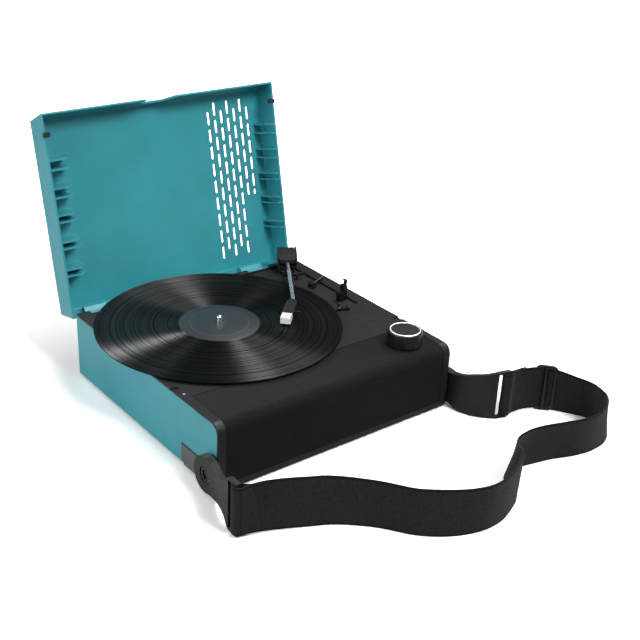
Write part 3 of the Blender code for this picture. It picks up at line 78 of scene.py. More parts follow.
class Shader:
    """A Principled material, with short calls for the nodes that shape it."""

    def __init__(self, name, colour, roughness, metallic=0.0, specular=0.5):
        self.mat = bpy.data.materials.new(name)
        self.mat.use_nodes = True
        self.tree = self.mat.node_tree
        self.bsdf = self.tree.nodes["Principled BSDF"]
        self.set("Base Color", (*colour, 1))
        self.set("Roughness", roughness)
        self.set("Metallic", metallic)
        self.set("Specular IOR Level", specular)

    def set(self, socket, value):
        self.feed(self.bsdf.inputs[socket], value)

    def feed(self, socket, value):
        if isinstance(value, bpy.types.NodeSocket):
            self.tree.links.new(value, socket)
        else:
            socket.default_value = value

    def node(self, kind, inputs=None, **settings):
        made = self.tree.nodes.new(kind)
        for key, value in settings.items():
            setattr(made, key, value)
        for key, value in (inputs or {}).items():
            self.feed(made.inputs[key], value)
        return made

    def maths(self, operation, *values):
        inputs = dict(enumerate(values))
        return self.node("ShaderNodeMath", inputs, operation=operation).outputs[0]

    def place(self):
        return self.node("ShaderNodeTexCoord").outputs["Object"]

    def noise(self, scale, detail, vector=None, rough=0.5):
        inputs = {"Vector": vector or self.place(), "Scale": scale, "Detail": detail, "Roughness": rough}
        return self.node("ShaderNodeTexNoise", inputs).outputs["Fac"]

    def ramp(self, value, low, high, to_low=0.0, to_high=1.0):
        inputs = {"Value": value, "From Min": low, "From Max": high, "To Min": to_low, "To Max": to_high}
        return self.node("ShaderNodeMapRange", inputs).outputs["Result"]

    def mix(self, factor, one, two):
        made = self.node("ShaderNodeMix", data_type="RGBA")
        for key, value in (("Factor", factor), (6, one), (7, two)):
            self.feed(made.inputs[key], value)
        return made.outputs[2]

    def line_noise(self, value, scale, detail, rough=0.5):
        """Noise that varies with one value only."""
        inputs = {"W": value, "Scale": scale, "Detail": detail, "Roughness": rough}
        return self.node("ShaderNodeTexNoise", inputs, noise_dimensions="1D").outputs["Fac"]

    def length(self, vector):
        return self.node("ShaderNodeVectorMath", {0: vector}, operation="LENGTH").outputs["Value"]

    def bump(self, height, distance, strength):
        inputs = {"Height": height, "Distance": distance, "Strength": strength}
        self.set("Normal", self.node("ShaderNodeBump", inputs).outputs["Normal"])

    def edges(self, width):
        """1 on edges and corners, 0 on open surfaces."""
        rounded = self.node("ShaderNodeBevel", {"Radius": width}, samples=3).outputs["Normal"]
        flat = self.node("ShaderNodeNewGeometry").outputs["Normal"]
        normals = {0: rounded, 1: flat}
        agreement = self.node("ShaderNodeVectorMath", normals, operation="DOT_PRODUCT").outputs["Value"]
        return self.ramp(agreement, AGREE_ON_FLAT, AGREE_ON_EDGE)


def brighter(colour, factor):
    return (*[min(1.0, c * factor) for c in colour], 1)


EDGE_HIGHLIGHT_WIDTH, EDGE_HIGHLIGHT_SHARE = 0.5 * MM, 0.55  # width and share of the painted highlight on a moulding's paler edges
FLOW_SCALE, SCUFF_SCALE, GRAIN_SCALE = 14, 90, 1300
DUST_SCALE, RUBBER_SCALE, HAIRLINE_SCALE = 260, 1100, 160


def moulded(name, colour, roughness, specular=0.5, grain=0.05 * MM, edge_highlight_gain=1.35):
    """Injection-moulded plastic: a fine spark-eroded grain, faint flow marks, and paler edges that are a
    painted highlight.
    """
    s = Shader(name, colour, roughness, specular=specular)
    flow = s.noise(FLOW_SCALE, 3)
    tone = s.mix(s.ramp(flow, 0.3, 0.7), brighter(colour, 0.92), brighter(colour, 1.08))
    # painted highlight: every edge is mixed towards a paler copy of the colour, by the last argument's factor
    painted_edge_highlight = s.maths("MULTIPLY", s.edges(EDGE_HIGHLIGHT_WIDTH), EDGE_HIGHLIGHT_SHARE)
    s.set("Base Color", s.mix(painted_edge_highlight, tone, brighter(colour, edge_highlight_gain)))
    scuffs = s.noise(SCUFF_SCALE, 5, rough=0.7)
    s.set("Roughness", s.ramp(scuffs, 0.35, 0.7, roughness - 0.05, roughness + 0.08))
    s.bump(s.noise(GRAIN_SCALE, 3), grain, 0.35)
    return s


def rubber(name, colour, roughness=0.78):
    """Matt rubber or paper with a little pale dust."""
    s = Shader(name, colour, roughness, specular=0.3)
    dust = s.ramp(s.noise(DUST_SCALE, 5, rough=0.7), 0.45, 0.75)
    s.set("Base Color", s.mix(dust, (*colour, 1), brighter(colour, 1.9)))
    s.bump(s.noise(RUBBER_SCALE, 4), 0.08 * MM, 0.5)
    return s


def metal(name, colour, roughness):
    """Turned or drawn metal with hairline marks along it."""
    s = Shader(name, colour, roughness, metallic=1.0)
    lines = s.node("ShaderNodeMapping", {"Vector": s.place(), "Scale": (1, 1, 40)}).outputs[0]
    marks = s.noise(HAIRLINE_SCALE, 4, vector=lines)
    s.set("Roughness", s.ramp(marks, 0.3, 0.7, roughness * 0.75, roughness * 1.35))
    s.bump(marks, 0.01 * MM, 0.25)
    return s


CORD_PITCH, BORDER_SOFT, STITCH_PITCH = 1.3 * MM, 0.6 * MM, 3.2 * MM
SEAM_HALF, SEAM_FLOOR = 0.7 * MM, 0.2 * MM
FLECK_SCALE = 430


def ripple(s, value, pitch):
    """A sine that crosses zero once in each pitch."""
    return s.maths("SINE", s.maths("MULTIPLY", value, math.pi / pitch))


def strap_relief(s, height, along, across):
    """Cords across the strap, a plain folded hem at each border, and lines of stitches at the seams."""
    cords = s.maths("ABSOLUTE", ripple(s, along, CORD_PITCH))
    height = s.maths("ADD", s.maths("MULTIPLY", height, 0.45), s.maths("MULTIPLY", cords, 0.8))
    border = STRAP_WIDTH / 2 - STRAP_HEM
    inside = s.ramp(s.maths("ABSOLUTE", across), border, border - BORDER_SOFT)
    height = s.maths("MULTIPLY", height, s.maths("ADD", s.maths("MULTIPLY", inside, 0.7), 0.3))
    for seam in STRAP_SEAMS:
        line = s.ramp(s.maths("ABSOLUTE", s.maths("SUBTRACT", along, seam)), SEAM_HALF, SEAM_FLOOR)
        stitch = s.maths("GREATER_THAN", ripple(s, across, STITCH_PITCH / 2), -0.4)
        height = s.maths("SUBTRACT", height, s.maths("MULTIPLY", s.maths("MULTIPLY", line, stitch), 1.2))
    return height


def weave(name, colour, pitch, relief, sheen, strap=False):
    """Woven cloth on a UV in metres, along and across it."""
    s = Shader(name, colour, 0.9, specular=0.12)
    split = s.node("ShaderNodeSeparateXYZ", {0: s.node("ShaderNodeUVMap", uv_map="weave").outputs[0]})
    along, across = split.outputs["X"], split.outputs["Y"]
    warp, weft = ripple(s, along, pitch), ripple(s, across, pitch)
    over = s.ramp(s.maths("MULTIPLY", warp, weft), -0.25, 0.25)
    threads = s.node("ShaderNodeMix", data_type="FLOAT")
    for key, value in ((0, over), (2, s.maths("ABSOLUTE", warp)), (3, s.maths("ABSOLUTE", weft))):
        s.feed(threads.inputs[key], value)
    height = threads.outputs[0]
    if strap:
        height = strap_relief(s, height, along, across)
    fleck = s.noise(FLECK_SCALE, 4, rough=0.9)
    shade = s.maths("ADD", s.maths("MULTIPLY", height, 0.35), s.maths("MULTIPLY", fleck, 1.3))
    s.set("Base Color", s.mix(s.ramp(shade, 0.66, 1.0), brighter(colour, 0.2), brighter(colour, 2.2)))
    s.set("Sheen Weight", sheen)
    s.set("Sheen Roughness", 0.5)
    s.bump(s.maths("ADD", height, s.maths("MULTIPLY", fleck, 0.6)), relief, 0.8)
    return s


def glow(name, colour, strength):
    """A lens that is lit faintly from behind."""
    s = moulded(name, colour, 0.3)
    s.set("Emission Color", (*colour, 1))
    s.set("Emission Strength", s.ramp(s.noise(400, 2), 0.2, 0.8, strength * 0.85, strength * 1.15))
    return s


# ---------------------------------------------------------------- the materials

def make_materials():
    made = {
        "teal": moulded("teal plastic", (0.034, 0.298, 0.352), 0.34, specular=0.45),
        "deck": moulded("charcoal deck", (0.0105, 0.0105, 0.0108), 0.5, specular=0.22, grain=0.1 * MM),
        "black": moulded("black plastic", (0.0050, 0.0050, 0.0052), 0.36, specular=0.35, edge_highlight_gain=2.2),
        "soft_black": moulded("matt black plastic", (0.0065, 0.0065, 0.0065), 0.55, specular=0.3,
                              grain=0.15 * MM, edge_highlight_gain=2.0),
        "grey": moulded("textured grey plastic", (0.080, 0.082, 0.086), 0.6, grain=0.3 * MM),
        "white": moulded("white plastic", (0.72, 0.72, 0.70), 0.3, edge_highlight_gain=1.1),
        "red": moulded("red plastic", (0.45, 0.015, 0.015), 0.3),
        "rubber": rubber("rubber", (0.014, 0.014, 0.014)),
        "belt": rubber("belt rubber", (0.020, 0.018, 0.017), 0.55),
        "cloth": weave("speaker cloth", (0.0050, 0.0050, 0.0050), 0.5 * MM, 0.1 * MM, 0.03),
        "webbing": weave("strap webbing", (0.0086, 0.0086, 0.0088), 0.6 * MM, 0.22 * MM, 0.08, strap=True),
        "chrome": metal("chrome", (0.92, 0.92, 0.92), 0.26),
        "steel": metal("steel", (0.55, 0.55, 0.56), 0.34),
        "brass": metal("brass", (0.78, 0.56, 0.25), 0.28),
        "cone": rubber("speaker cone paper", (0.045, 0.043, 0.040), 0.9),
        "board": moulded("circuit board", (0.015, 0.13, 0.05), 0.4, edge_highlight_gain=1.2),
        "battery": moulded("battery wrap", (0.03, 0.09, 0.30), 0.35),
        "light": glow("indicator light", (0.30, 0.31, 0.33), 0.05),
        "ring": metal("bright ring", (0.85, 0.85, 0.86), 0.45),
        "vinyl": vinyl(),
        "label": record_label(),
    }
    return {key: shader.mat for key, shader in made.items()}


def radius_from_spindle(s):
    split = s.node("ShaderNodeSeparateXYZ", {0: s.place()}).outputs
    flat = s.node("ShaderNodeCombineXYZ", {"X": split["X"], "Y": split["Y"], "Z": 0.0}).outputs[0]
    return s.length(flat)


GROOVE_SCALE, SONG_SCALE = 420.0, 60.0
LABEL_RING_RADIUS, LABEL_RING_HALF = 36 * MM, 0.4 * MM


def vinyl():
    """Pressed vinyl, whose circular grooves stretch each highlight into a wedge, with gaps between songs."""
    s = Shader("record vinyl", (0.003, 0.003, 0.0031), 0.3, specular=0.5)
    radius = radius_from_spindle(s)
    grooves = s.line_noise(radius, GROOVE_SCALE, 6.0, rough=0.75)
    gaps = s.ramp(s.line_noise(radius, SONG_SCALE, 1.0), 0.60, 0.64)
    rough = s.ramp(grooves, 0.3, 0.7, 0.40, 0.50)
    s.set("Roughness", s.maths("SUBTRACT", rough, s.maths("MULTIPLY", gaps, 0.1)))
    s.set("Specular IOR Level", s.ramp(grooves, 0.40, 0.60, 0.02, 0.36))
    s.set("Anisotropic", 1.0)
    s.set("Anisotropic Rotation", 0.25)
    s.set("Tangent", s.node("ShaderNodeTangent", direction_type="RADIAL", axis="Z").outputs[0])
    return s


def record_label():
    """Dark paper with one thin paler ring and no print."""
    colour = (0.019, 0.023, 0.026)
    s = Shader("record label", colour, 0.42)
    off_ring = s.maths("ABSOLUTE", s.maths("SUBTRACT", radius_from_spindle(s), LABEL_RING_RADIUS))
    ring = s.maths("LESS_THAN", off_ring, LABEL_RING_HALF)
    paper = s.mix(s.ramp(s.noise(500, 4), 0.35, 0.7), (0.012, 0.015, 0.017, 1), (*colour, 1))
    s.set("Base Color", s.mix(s.maths("MULTIPLY", ring, 0.5), paper, (0.10, 0.13, 0.14, 1)))
    s.bump(s.noise(900, 3), 0.03 * MM, 0.4)
    return s


# ---------------------------------------------------------------- mesh tools

def piece(name, bm, mat, body, smooth=35):
    """Makes an object of the mesh, on a body where one is named. Edges sharper than smooth stay sharp."""
    bmesh.ops.recalc_face_normals(bm, faces=bm.faces[:])
    mesh = bpy.data.meshes.new(name)
    bm.to_mesh(mesh)
    bm.free()
    mesh.materials.append(mat)
    mesh.shade_smooth()
    mesh.set_sharp_from_angle(angle=math.radians(smooth))
    obj = bpy.data.objects.new(name, mesh)
    bpy.context.scene.collection.objects.link(obj)
    if body:
        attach(obj, body)
    return obj


def arc(cx, cy, radius, first, last, steps):
    """Points on a circle between two angles in degrees."""
    angles = [math.radians(first + (last - first) * i / steps) for i in range(steps + 1)]
    return [(cx + radius * math.cos(a), cy + radius * math.sin(a)) for a in angles]


def add_lathe(bm, profile, segments):
    """Turns a closed (radius, height) profile round Z. Points on the axis become one vertex."""
    rings = []
    for radius, height in profile:
        count = segments if radius > 0 else 1
        turn = [2 * math.pi * i / count for i in range(count)]
        rings.append([bm.verts.new((radius * math.cos(a), radius * math.sin(a), height)) for a in turn])
    pairs = list(zip(rings, rings[1:]))
    if profile[0][0] > 0:
        pairs.append((rings[-1], rings[0]))
    for one, two in pairs:
        for i in range(segments):
            j = (i + 1) % segments
            corners = [one[i % len(one)], one[j % len(one)], two[j % len(two)], two[i % len(two)]]
            bm.faces.new(list(dict.fromkeys(corners)))


# ---------------------------------------------------------------- CAD nodes that stay

FINISHES = {
    "teal": ("base_tub", "lid_shell"),
    "deck": ("deck_frame", "tonearm_turret", "tonearm_block", "headshell", "knob_cap"),
    "black": ("tonearm_pedestal", "counterweight", "arm_rest", "arm_clip", "cue_lever", "cue_lift_bar",
              "speed_selector_base", "speed_lever", "stylus", "volume_knob", "strap_screw_left",
              "strap_screw_right", "aux_socket", "power_socket"),
    "soft_black": ("chassis_pan", "speaker_baffle", "platter", "rear_socket_panel", "encoder_body",
                   "strap_lug_left", "strap_lug_right"),
    "grey": ("strap_mount_left", "strap_mount_right"),
    "white": ("line_out_left", "cartridge"),
    "red": ("line_out_right",),
    "rubber": ("foot_front_left", "foot_front_right", "foot_rear_left", "foot_rear_right", "platter_mat",
               "lid_bumper_left", "lid_bumper_right"),
    "belt": ("drive_belt",),
    "chrome": ("spindle", "tonearm_tube"),
    "ring": ("knob_ring",),
    "steel": ("driver_left", "driver_right", "motor", "hinge_pin_left", "hinge_pin_right", "encoder_shaft"),
    "brass": ("spindle_bearing", "motor_pulley"),
    "cone": ("driver_cone_left", "driver_cone_right"),
    "board": ("main_board",),
    "battery": ("battery_pack",),
    "light": ("indicator_lens",),
}

SMALL_ROUND = 0.35 * MM
CASING_ROUND = 0.5 * MM
LUG_ROUND = 0.7 * MM
EDGE_ROUND = {"deck_frame": CASING_ROUND, "base_tub": CASING_ROUND,
              "strap_lug_left": LUG_ROUND, "strap_lug_right": LUG_ROUND}
WELD_DISTANCE = 0.002 * MM
FLAT_ANGLE, ROUNDED_ANGLE = math.radians(0.6), math.radians(32)


def finish_cad(materials):
    """Gives each kept node its material, and rounds its hard edges a little as a mould would."""
    for key, names in FINISHES.items():
        for name in names:
            obj = frame["nodes"][name]
            obj.data.materials.clear()
            obj.data.materials.append(materials[key])
            weld = obj.modifiers.new("weld", "WELD")
            weld.merge_threshold = WELD_DISTANCE
            flatten = obj.modifiers.new("flat faces", "DECIMATE")
            flatten.decimate_type = "DISSOLVE"
            flatten.angle_limit = FLAT_ANGLE
            obj.data.shade_smooth()
            soften = obj.modifiers.new("soft edges", "BEVEL")
            soften.width = EDGE_ROUND.get(name, SMALL_ROUND)
            soften.segments = 2
            soften.limit_method = "ANGLE"
            soften.angle_limit = ROUNDED_ANGLE
            soften.harden_normals = True
            shade = obj.modifiers.new("shading", "WEIGHTED_NORMAL")
            shade.keep_sharp = True


# ---------------------------------------------------------------- record on the platter

RECORD_RADIUS, LABEL_RADIUS, RECORD_THICK, RECORD_BORE = 151 * MM, 50 * MM, 1.9 * MM, 3.6 * MM
RECORD_LIFT, GROOVE_DEPTH, LABEL_THICK = 0.1 * MM, 0.25 * MM, 0.15 * MM
GROOVE_INNER, GROOVE_OUTER = 58 * MM, RECORD_RADIUS - 4 * MM
HIDE_FROM, HIDE_BY = math.radians(3), math.radians(4)  # how far the lid has closed


def record_prop(materials):
    """A 12 inch record shown on the platter. It is a prop, so it isn't a piece of the player."""
    low = MAT_TOP + RECORD_LIFT
    top = low + RECORD_THICK
    bm = bmesh.new()
    rim = arc(RECORD_RADIUS - 1 * MM, (low + top) / 2, RECORD_THICK / 2, -90, 90, 8)
    face = [(GROOVE_OUTER, top - GROOVE_DEPTH), (GROOVE_INNER, top - GROOVE_DEPTH),
            (LABEL_RADIUS + 2 * MM, top), (LABEL_RADIUS, top), (RECORD_BORE, top)]
    add_lathe(bm, [(RECORD_BORE, low)] + rim + face, 256)
    disc = piece("record_disc", bm, materials["vinyl"], None)
    bm = bmesh.new()
    add_lathe(bm, [(RECORD_BORE, top), (LABEL_RADIUS - 0.5 * MM, top),
                   (LABEL_RADIUS - 0.8 * MM, top + LABEL_THICK), (RECORD_BORE, top + LABEL_THICK)], 128)
    label = piece("record_label", bm, materials["label"], None)
    for obj in (disc, label):
        obj.location = (SPINDLE.x, SPINDLE.y, 0)
        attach(obj, "platter")
        take_off_when_lid_closes(obj)


def take_off_when_lid_closes(obj):
    """A 12 inch record overhangs the closed case, so it shrinks to nothing as the lid starts to close."""
    limit = obj.constraints.new("TRANSFORM")
    limit.target = frame["bodies"]["lid"]
    limit.map_from = "ROTATION"
    limit.from_min_x_rot = HIDE_FROM
    limit.from_max_x_rot = HIDE_BY
    limit.map_to = "SCALE"
    limit.map_to_x_from = "X"
    limit.map_to_y_from = "X"
    limit.map_to_z_from = "X"
    for axis in "xyz":
        setattr(limit, f"to_min_{axis}_scale", 1.0)
        setattr(limit, f"to_max_{axis}_scale", 0.0)


# ---------------------------------------------------------------- speaker cloth

CLOTH_INSET, CLOTH_THICK, FRONT_ROUND = 0.5 * MM, 1.1 * MM, 13 * MM
CLOTH_COLUMNS, CLOTH_ROWS, ROUND_ROWS = 80, 20, 14  # cells across, down each flat side and round the bend
HOLE_RADIUS, HOLE_PATCH = 4 * MM, 8 * MM


def cloth_profile(inset):
    """The cloth's side view, as (y, z), from its rear edge on the deck down to its bottom edge."""
    low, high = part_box("speaker_cloth")
    centre_y, centre_z = FRONT_Y + FRONT_ROUND, DECK_TOP - FRONT_ROUND
    points = [(high.y + (centre_y - high.y) * i / CLOTH_ROWS, DECK_TOP - inset) for i in range(CLOTH_ROWS)]
    points += arc(centre_y, centre_z, FRONT_ROUND - inset, 90, 180, ROUND_ROWS)
    points += [(FRONT_Y + inset, centre_z + (low.z - centre_z) * i / CLOTH_ROWS)
               for i in range(1, CLOTH_ROWS + 1)]
    return points


def hole_patch(grid, centre):
    """The grid cells that the knob's shaft passes through, as first and last column, first and last row."""
    xs, ys = [line[0].co.x for line in grid], [vert.co.y for vert in grid[0]]
    return (max(i for i, x in enumerate(xs) if x <= centre.x - HOLE_PATCH),
            min(i for i, x in enumerate(xs) if x >= centre.x + HOLE_PATCH),
            max(j for j, y in enumerate(ys) if y >= centre.y + HOLE_PATCH),
            min(j for j, y in enumerate(ys) if y <= centre.y - HOLE_PATCH))


def shaft_hole(bm, grids, patch, centre, along, rear_y):
    """A round hole with a wall, joined to the edge of the cells left out of both sides of the cloth."""
    left, right, rear, front = patch
    edge = [(i, rear) for i in range(left, right)] + [(right, j) for j in range(rear, front)]
    edge += [(i, front) for i in range(right, left, -1)] + [(left, j) for j in range(front, rear, -1)]
    rings = []
    for grid in grids:
        ring = []
        for i, j in edge:
            corner = grid[i][j].co
            way = (corner - centre).to_2d().normalized() * HOLE_RADIUS
            vert = bm.verts.new((centre.x + way.x, centre.y + way.y, corner.z))
            along[vert] = (vert.co.x, rear_y - vert.co.y)
            ring.append(vert)
        rings.append(ring)
    (top, under), (upper, lower) = grids, rings
    for k, (i, j) in enumerate(edge):
        n = (k + 1) % len(edge)
        next_i, next_j = edge[n]
        bm.faces.new((top[i][j], top[next_i][next_j], upper[n], upper[k]))
        bm.faces.new((under[next_i][next_j], under[i][j], lower[k], lower[n]))
        bm.faces.new((upper[k], upper[n], lower[n], lower[k]))


def speaker_cloth(materials):
    """A thin sheet stretched over the baffle, with a closed border and a hole for the knob's shaft."""
    low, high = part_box("speaker_cloth")
    outer, inner = cloth_profile(CLOTH_INSET), cloth_profile(CLOTH_INSET + CLOTH_THICK)
    run = [0.0]
    for (y0, z0), (y1, z1) in zip(outer, outer[1:]):
        run.append(run[-1] + math.hypot(y1 - y0, z1 - z0))
    bm = bmesh.new()
    uv = bm.loops.layers.uv.new("weave")
    grids, along = [], {}
    for profile in (outer, inner):
        grid = []
        for i in range(CLOTH_COLUMNS + 1):
            x = low.x + (high.x - low.x) * i / CLOTH_COLUMNS
            line = [bm.verts.new((x, y, z)) for y, z in profile]
            along.update({vert: (vert.co.x, run[j]) for j, vert in enumerate(line)})
            grid.append(line)
        grids.append(grid)
    top, under = grids
    last = len(run) - 1
    shaft_low, shaft_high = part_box("encoder_shaft")
    centre = (shaft_low + shaft_high) / 2
    patch = hole_patch(top, centre)
    shaft_hole(bm, grids, patch, centre, along, outer[0][0])
    for i in range(CLOTH_COLUMNS):
        for j in range(last):
            if patch[0] <= i < patch[1] and patch[2] <= j < patch[3]:
                continue
            bm.faces.new((top[i][j], top[i + 1][j], top[i + 1][j + 1], top[i][j + 1]))
            bm.faces.new((under[i][j], under[i][j + 1], under[i + 1][j + 1], under[i + 1][j]))
        for j in (0, last):
            bm.faces.new((top[i][j], under[i][j], under[i + 1][j], top[i + 1][j]))
    for i in (0, CLOTH_COLUMNS):
        for j in range(last):
            bm.faces.new((top[i][j], top[i][j + 1], under[i][j + 1], under[i][j]))
    for face in bm.faces:
        for loop in face.loops:
            loop[uv].uv = along[loop.vert]
    obj = piece("front_cloth", bm, materials["cloth"], "base")
    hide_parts("speaker_cloth")


# ---------------------------------------------------------------- carry strap

STRAP_LOW = FLOOR_Z + 0.4 * MM
STRAP_RISE, RISE_START, RISE_END = 3 * MM, 135 * MM, 62 * MM
SECTION_STEPS, ROUTE_STEPS = 24, 8
FIELD_SHARE = 0.84  # the webbing's thickness between its hems, as a share of a hem's
SLIDE_HEADING = math.radians(-49)
SLIDE_HALF, SLIDE_CORNER, SLIDE_BAR, SLIDE_FRONT = 12 * MM, 6 * MM, 2.6 * MM, -1.7 * MM
SLIDE_CLEARANCE, SLIDE_ABOVE = 0.2 * MM, 2.4 * MM  # over the floor, and above the webbing
TUBE_SIDES, TUBE_FLATNESS, UPRIGHT_SHARE = 12, 0.8, 0.85

# Points on the webbing's lower edge in plan, and how far its upper edge leans from there, in mm
LEFT_END = (
    (-166, -237, 0, 0), (-176, -232.8, 0, 0), (-182.6, -228, 0, 0), (-185, -223.6, 0, 0),
    (-188.4, -221, 0, 0), (-192.6, -223, 0, 0), (-193.6, -227, 0, 0), (-192.4, -231, 0, 0),
    (-188.5, -233.4, 0, 0),
)
FRONT = (
    (-180, -235.2, -1, 2), (-165, -239.9, -1, 6), (-140, -249.5, 0, 8), (-118, -258.5, 0, 7.5),
    (-101, -266.5, 0, 6.5), (-81, -281.5, -1, 4), (-62, -300.5, -2, 2.5), (-51.3, -315.2, -2, 2),
    (-40.5, -329.6, -2, 1.5), (-27.8, -341.2, -2, 2), (-13.5, -351.1, 0, 0), (3, -359, 0.5, -1.8),
    (22.6, -364.3, 0, -3), (38.8, -365, 0, -3), (54.8, -362.8, 0, -2), (75, -355, 0, -2),
    (91.4, -346.5, 1, -1.5),
)
BENDS = (
    (98.5, -334, 2.5, -5), (103.5, -322, 0, -12), (111, -311.5, -4.5, -18), (122, -304.5, -10, -18.5),
    (134, -302.5, -13, -14), (146, -305, -7, -10.5), (161, -308.7, -3, -10), (185.5, -314.4, -2, -12),
    (208.5, -323, -1, -11), (228.5, -328, -1, -9), (245, -329, -2, -5), (263, -326.8, -4, 0),
    (280.5, -318.3, -8, 4), (291, -305, -12, 3), (295.5, -290, -13, 0), (293, -275.5, -11.5, -3),
    (287.2, -264, -9, -4),
    (278.2, -249.6, -4.5, -2), (270.4, -240.2, -1, -1),
)
RIGHT_END = (
    (262, -231.2, 0, 0), (253.5, -225, 0, 0), (240, -220.6, 0, 0), (226, -218.8, 0, 0),
    (217.5, -219.2, 0, 0), (211.6, -221.5, 0, 0), (207.4, -221, 0, 0), (203.9, -218, 0, 0),
    (204.2, -213.8, 0, 0), (209.2, -211.6, 0, 0), (214, -213, 0, 0), (219.5, -215.6, 0, 0),
    (228, -216.2, 0, 0), (239, -217.8, 0, 0),
)


def smooth_route(points, steps):
    """A smooth curve through the points, by Catmull-Rom spans."""
    ends = [2 * points[0] - points[1]] + points + [2 * points[-1] - points[-2]]
    path = []
    for a, b, c, d in zip(ends, ends[1:], ends[2:], ends[3:]):
        for i in range(steps):
            t = i / steps
            path.append(0.5 * (2 * b + (c - a) * t + (2 * a - 5 * b + 4 * c - d) * t**2
                               + (3 * b - a - 3 * c + d) * t**3))
    path.append(points[-1])
    return path


def ribbon_section():
    """The webbing's cross-section as (across, outward), thinner between its rounded hems."""
    half, thick = STRAP_WIDTH / 2, STRAP_THICK / 2
    one_side = []
    for i in range(SECTION_STEPS + 1):
        across = -half * math.cos(math.pi * i / SECTION_STEPS)
        edge = max(0.0, 1 - (half - abs(across)) / STRAP_HEM)
        swell = FIELD_SHARE + (1 - FIELD_SHARE) * min(1.0, 4 * edge)
        rounding = math.sqrt(max(0.02, 1 - max(0.0, edge * 2 - 1) ** 4))
        one_side.append((across, thick * swell * rounding))
    return one_side + [(across, -out) for across, out in reversed(one_side)]


def rise(walked, total):
    """The lugs hold the webbing's ends a little above the floor."""
    near = min(walked, total - walked)
    t = max(0.0, min(1.0, (RISE_START - near) / (RISE_START - RISE_END)))
    return STRAP_RISE * t * t * (3 - 2 * t)


def carry_strap(materials):
    """One length of webbing, stood on its edge, that wraps both lugs' end bars and passes the slide."""
    route = [Vector(p) * MM for p in LEFT_END + FRONT + BENDS + RIGHT_END]
    path = smooth_route(route, ROUTE_STEPS)
    plan = [Vector((p[0] + p[2] / 2, p[1] + p[3] / 2)) for p in path]
    run = [0.0]
    for one, two in zip(plan, plan[1:]):
        run.append(run[-1] + (two - one).length)
    section = ribbon_section()
    bm = bmesh.new()
    uv = bm.loops.layers.uv.new("weave")
    loops = []
    for i, p in enumerate(path):
        heading = plan[min(i + 1, len(plan) - 1)] - plan[max(i - 1, 0)]
        up = Vector((p[2], p[3], math.sqrt(STRAP_WIDTH**2 - p[2] ** 2 - p[3] ** 2))).normalized()
        out = Vector((heading.x, heading.y, 0)).cross(up).normalized()
        middle = Vector((p[0], p[1], STRAP_LOW + rise(run[i], run[-1]))) + up * STRAP_WIDTH / 2
        loops.append([bm.verts.new(middle + up * a + out * o) for a, o in section])
    count = len(section)
    place = {v: (run[i], section[k][0]) for i, loop in enumerate(loops) for k, v in enumerate(loop)}
    for one, two in zip(loops, loops[1:]):
        for i in range(count):
            bm.faces.new((one[i], one[(i + 1) % count], two[(i + 1) % count], two[i]))
    bm.faces.new(loops[0][::-1])
    bm.faces.new(loops[-1])
    for face in bm.faces:
        for loop in face.loops:
            loop[uv].uv = place[loop.vert]
    strap = piece("webbing_strap", bm, materials["webbing"], "strap", smooth=60)
    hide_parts("strap_webbing")
    slide_buckle(materials)


def slide_buckle(materials):
    """A slide: a rounded frame that the webbing threads, with an upright bar that it folds round."""
    low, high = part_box("strap_adjuster")
    bottom = FLOOR_Z + SLIDE_BAR + SLIDE_CLEARANCE
    top = STRAP_LOW + STRAP_WIDTH + SLIDE_ABOVE
    half_z = (top - bottom) / 2
    bm = bmesh.new()
    loop = []
    for way_x, way_z, angle in ((1, 1, 0), (-1, 1, 90), (-1, -1, 180), (1, -1, 270)):
        x, z = way_x * (SLIDE_HALF - SLIDE_CORNER), way_z * (half_z - SLIDE_CORNER)
        loop += [Vector((u, 0, w)) for u, w in arc(x, z, SLIDE_CORNER, angle, angle + 90, 6)]
    add_tube(bm, loop, SLIDE_BAR, closed=True)
    upright = [Vector((0, SLIDE_FRONT, -half_z)), Vector((0, SLIDE_FRONT, half_z))]
    add_tube(bm, upright, SLIDE_BAR * UPRIGHT_SHARE, closed=False)
    centre = Vector(((low.x + high.x) / 2, (low.y + high.y) / 2, (top + bottom) / 2))
    turn = Matrix.Translation(centre) @ Matrix.Rotation(SLIDE_HEADING, 4, "Z")
    bmesh.ops.transform(bm, matrix=turn, verts=bm.verts[:])
    buckle = piece("slide_buckle", bm, materials["black"], "strap", smooth=60)
    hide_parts("strap_adjuster")


def add_tube(bm, path, radius, closed):
    """A slightly flattened round bar along a path in the XZ plane."""
    deep = Vector((0, 1, 0))
    turn = [2 * math.pi * k / TUBE_SIDES for k in range(TUBE_SIDES)]
    rings = []
    count = len(path)
    for i, p in enumerate(path):
        before = path[(i - 1) % count] if closed or i else p
        after = path[(i + 1) % count] if closed or i < count - 1 else p
        out = (after - before).normalized().cross(deep)
        side, depth = out * radius, deep * radius * TUBE_FLATNESS
        rings.append([bm.verts.new(p + side * math.cos(a) + depth * math.sin(a)) for a in turn])
    pairs = list(zip(rings, rings[1:]))
    if closed:
        pairs.append((rings[-1], rings[0]))
    else:
        bm.faces.new(rings[0][::-1])
        bm.faces.new(rings[-1])
    for one, two in pairs:
        for k in range(TUBE_SIDES):
            j = (k + 1) % TUBE_SIDES
            bm.faces.new((one[k], one[j], two[j], two[k]))


# ---------------------------------------------------------------- studio

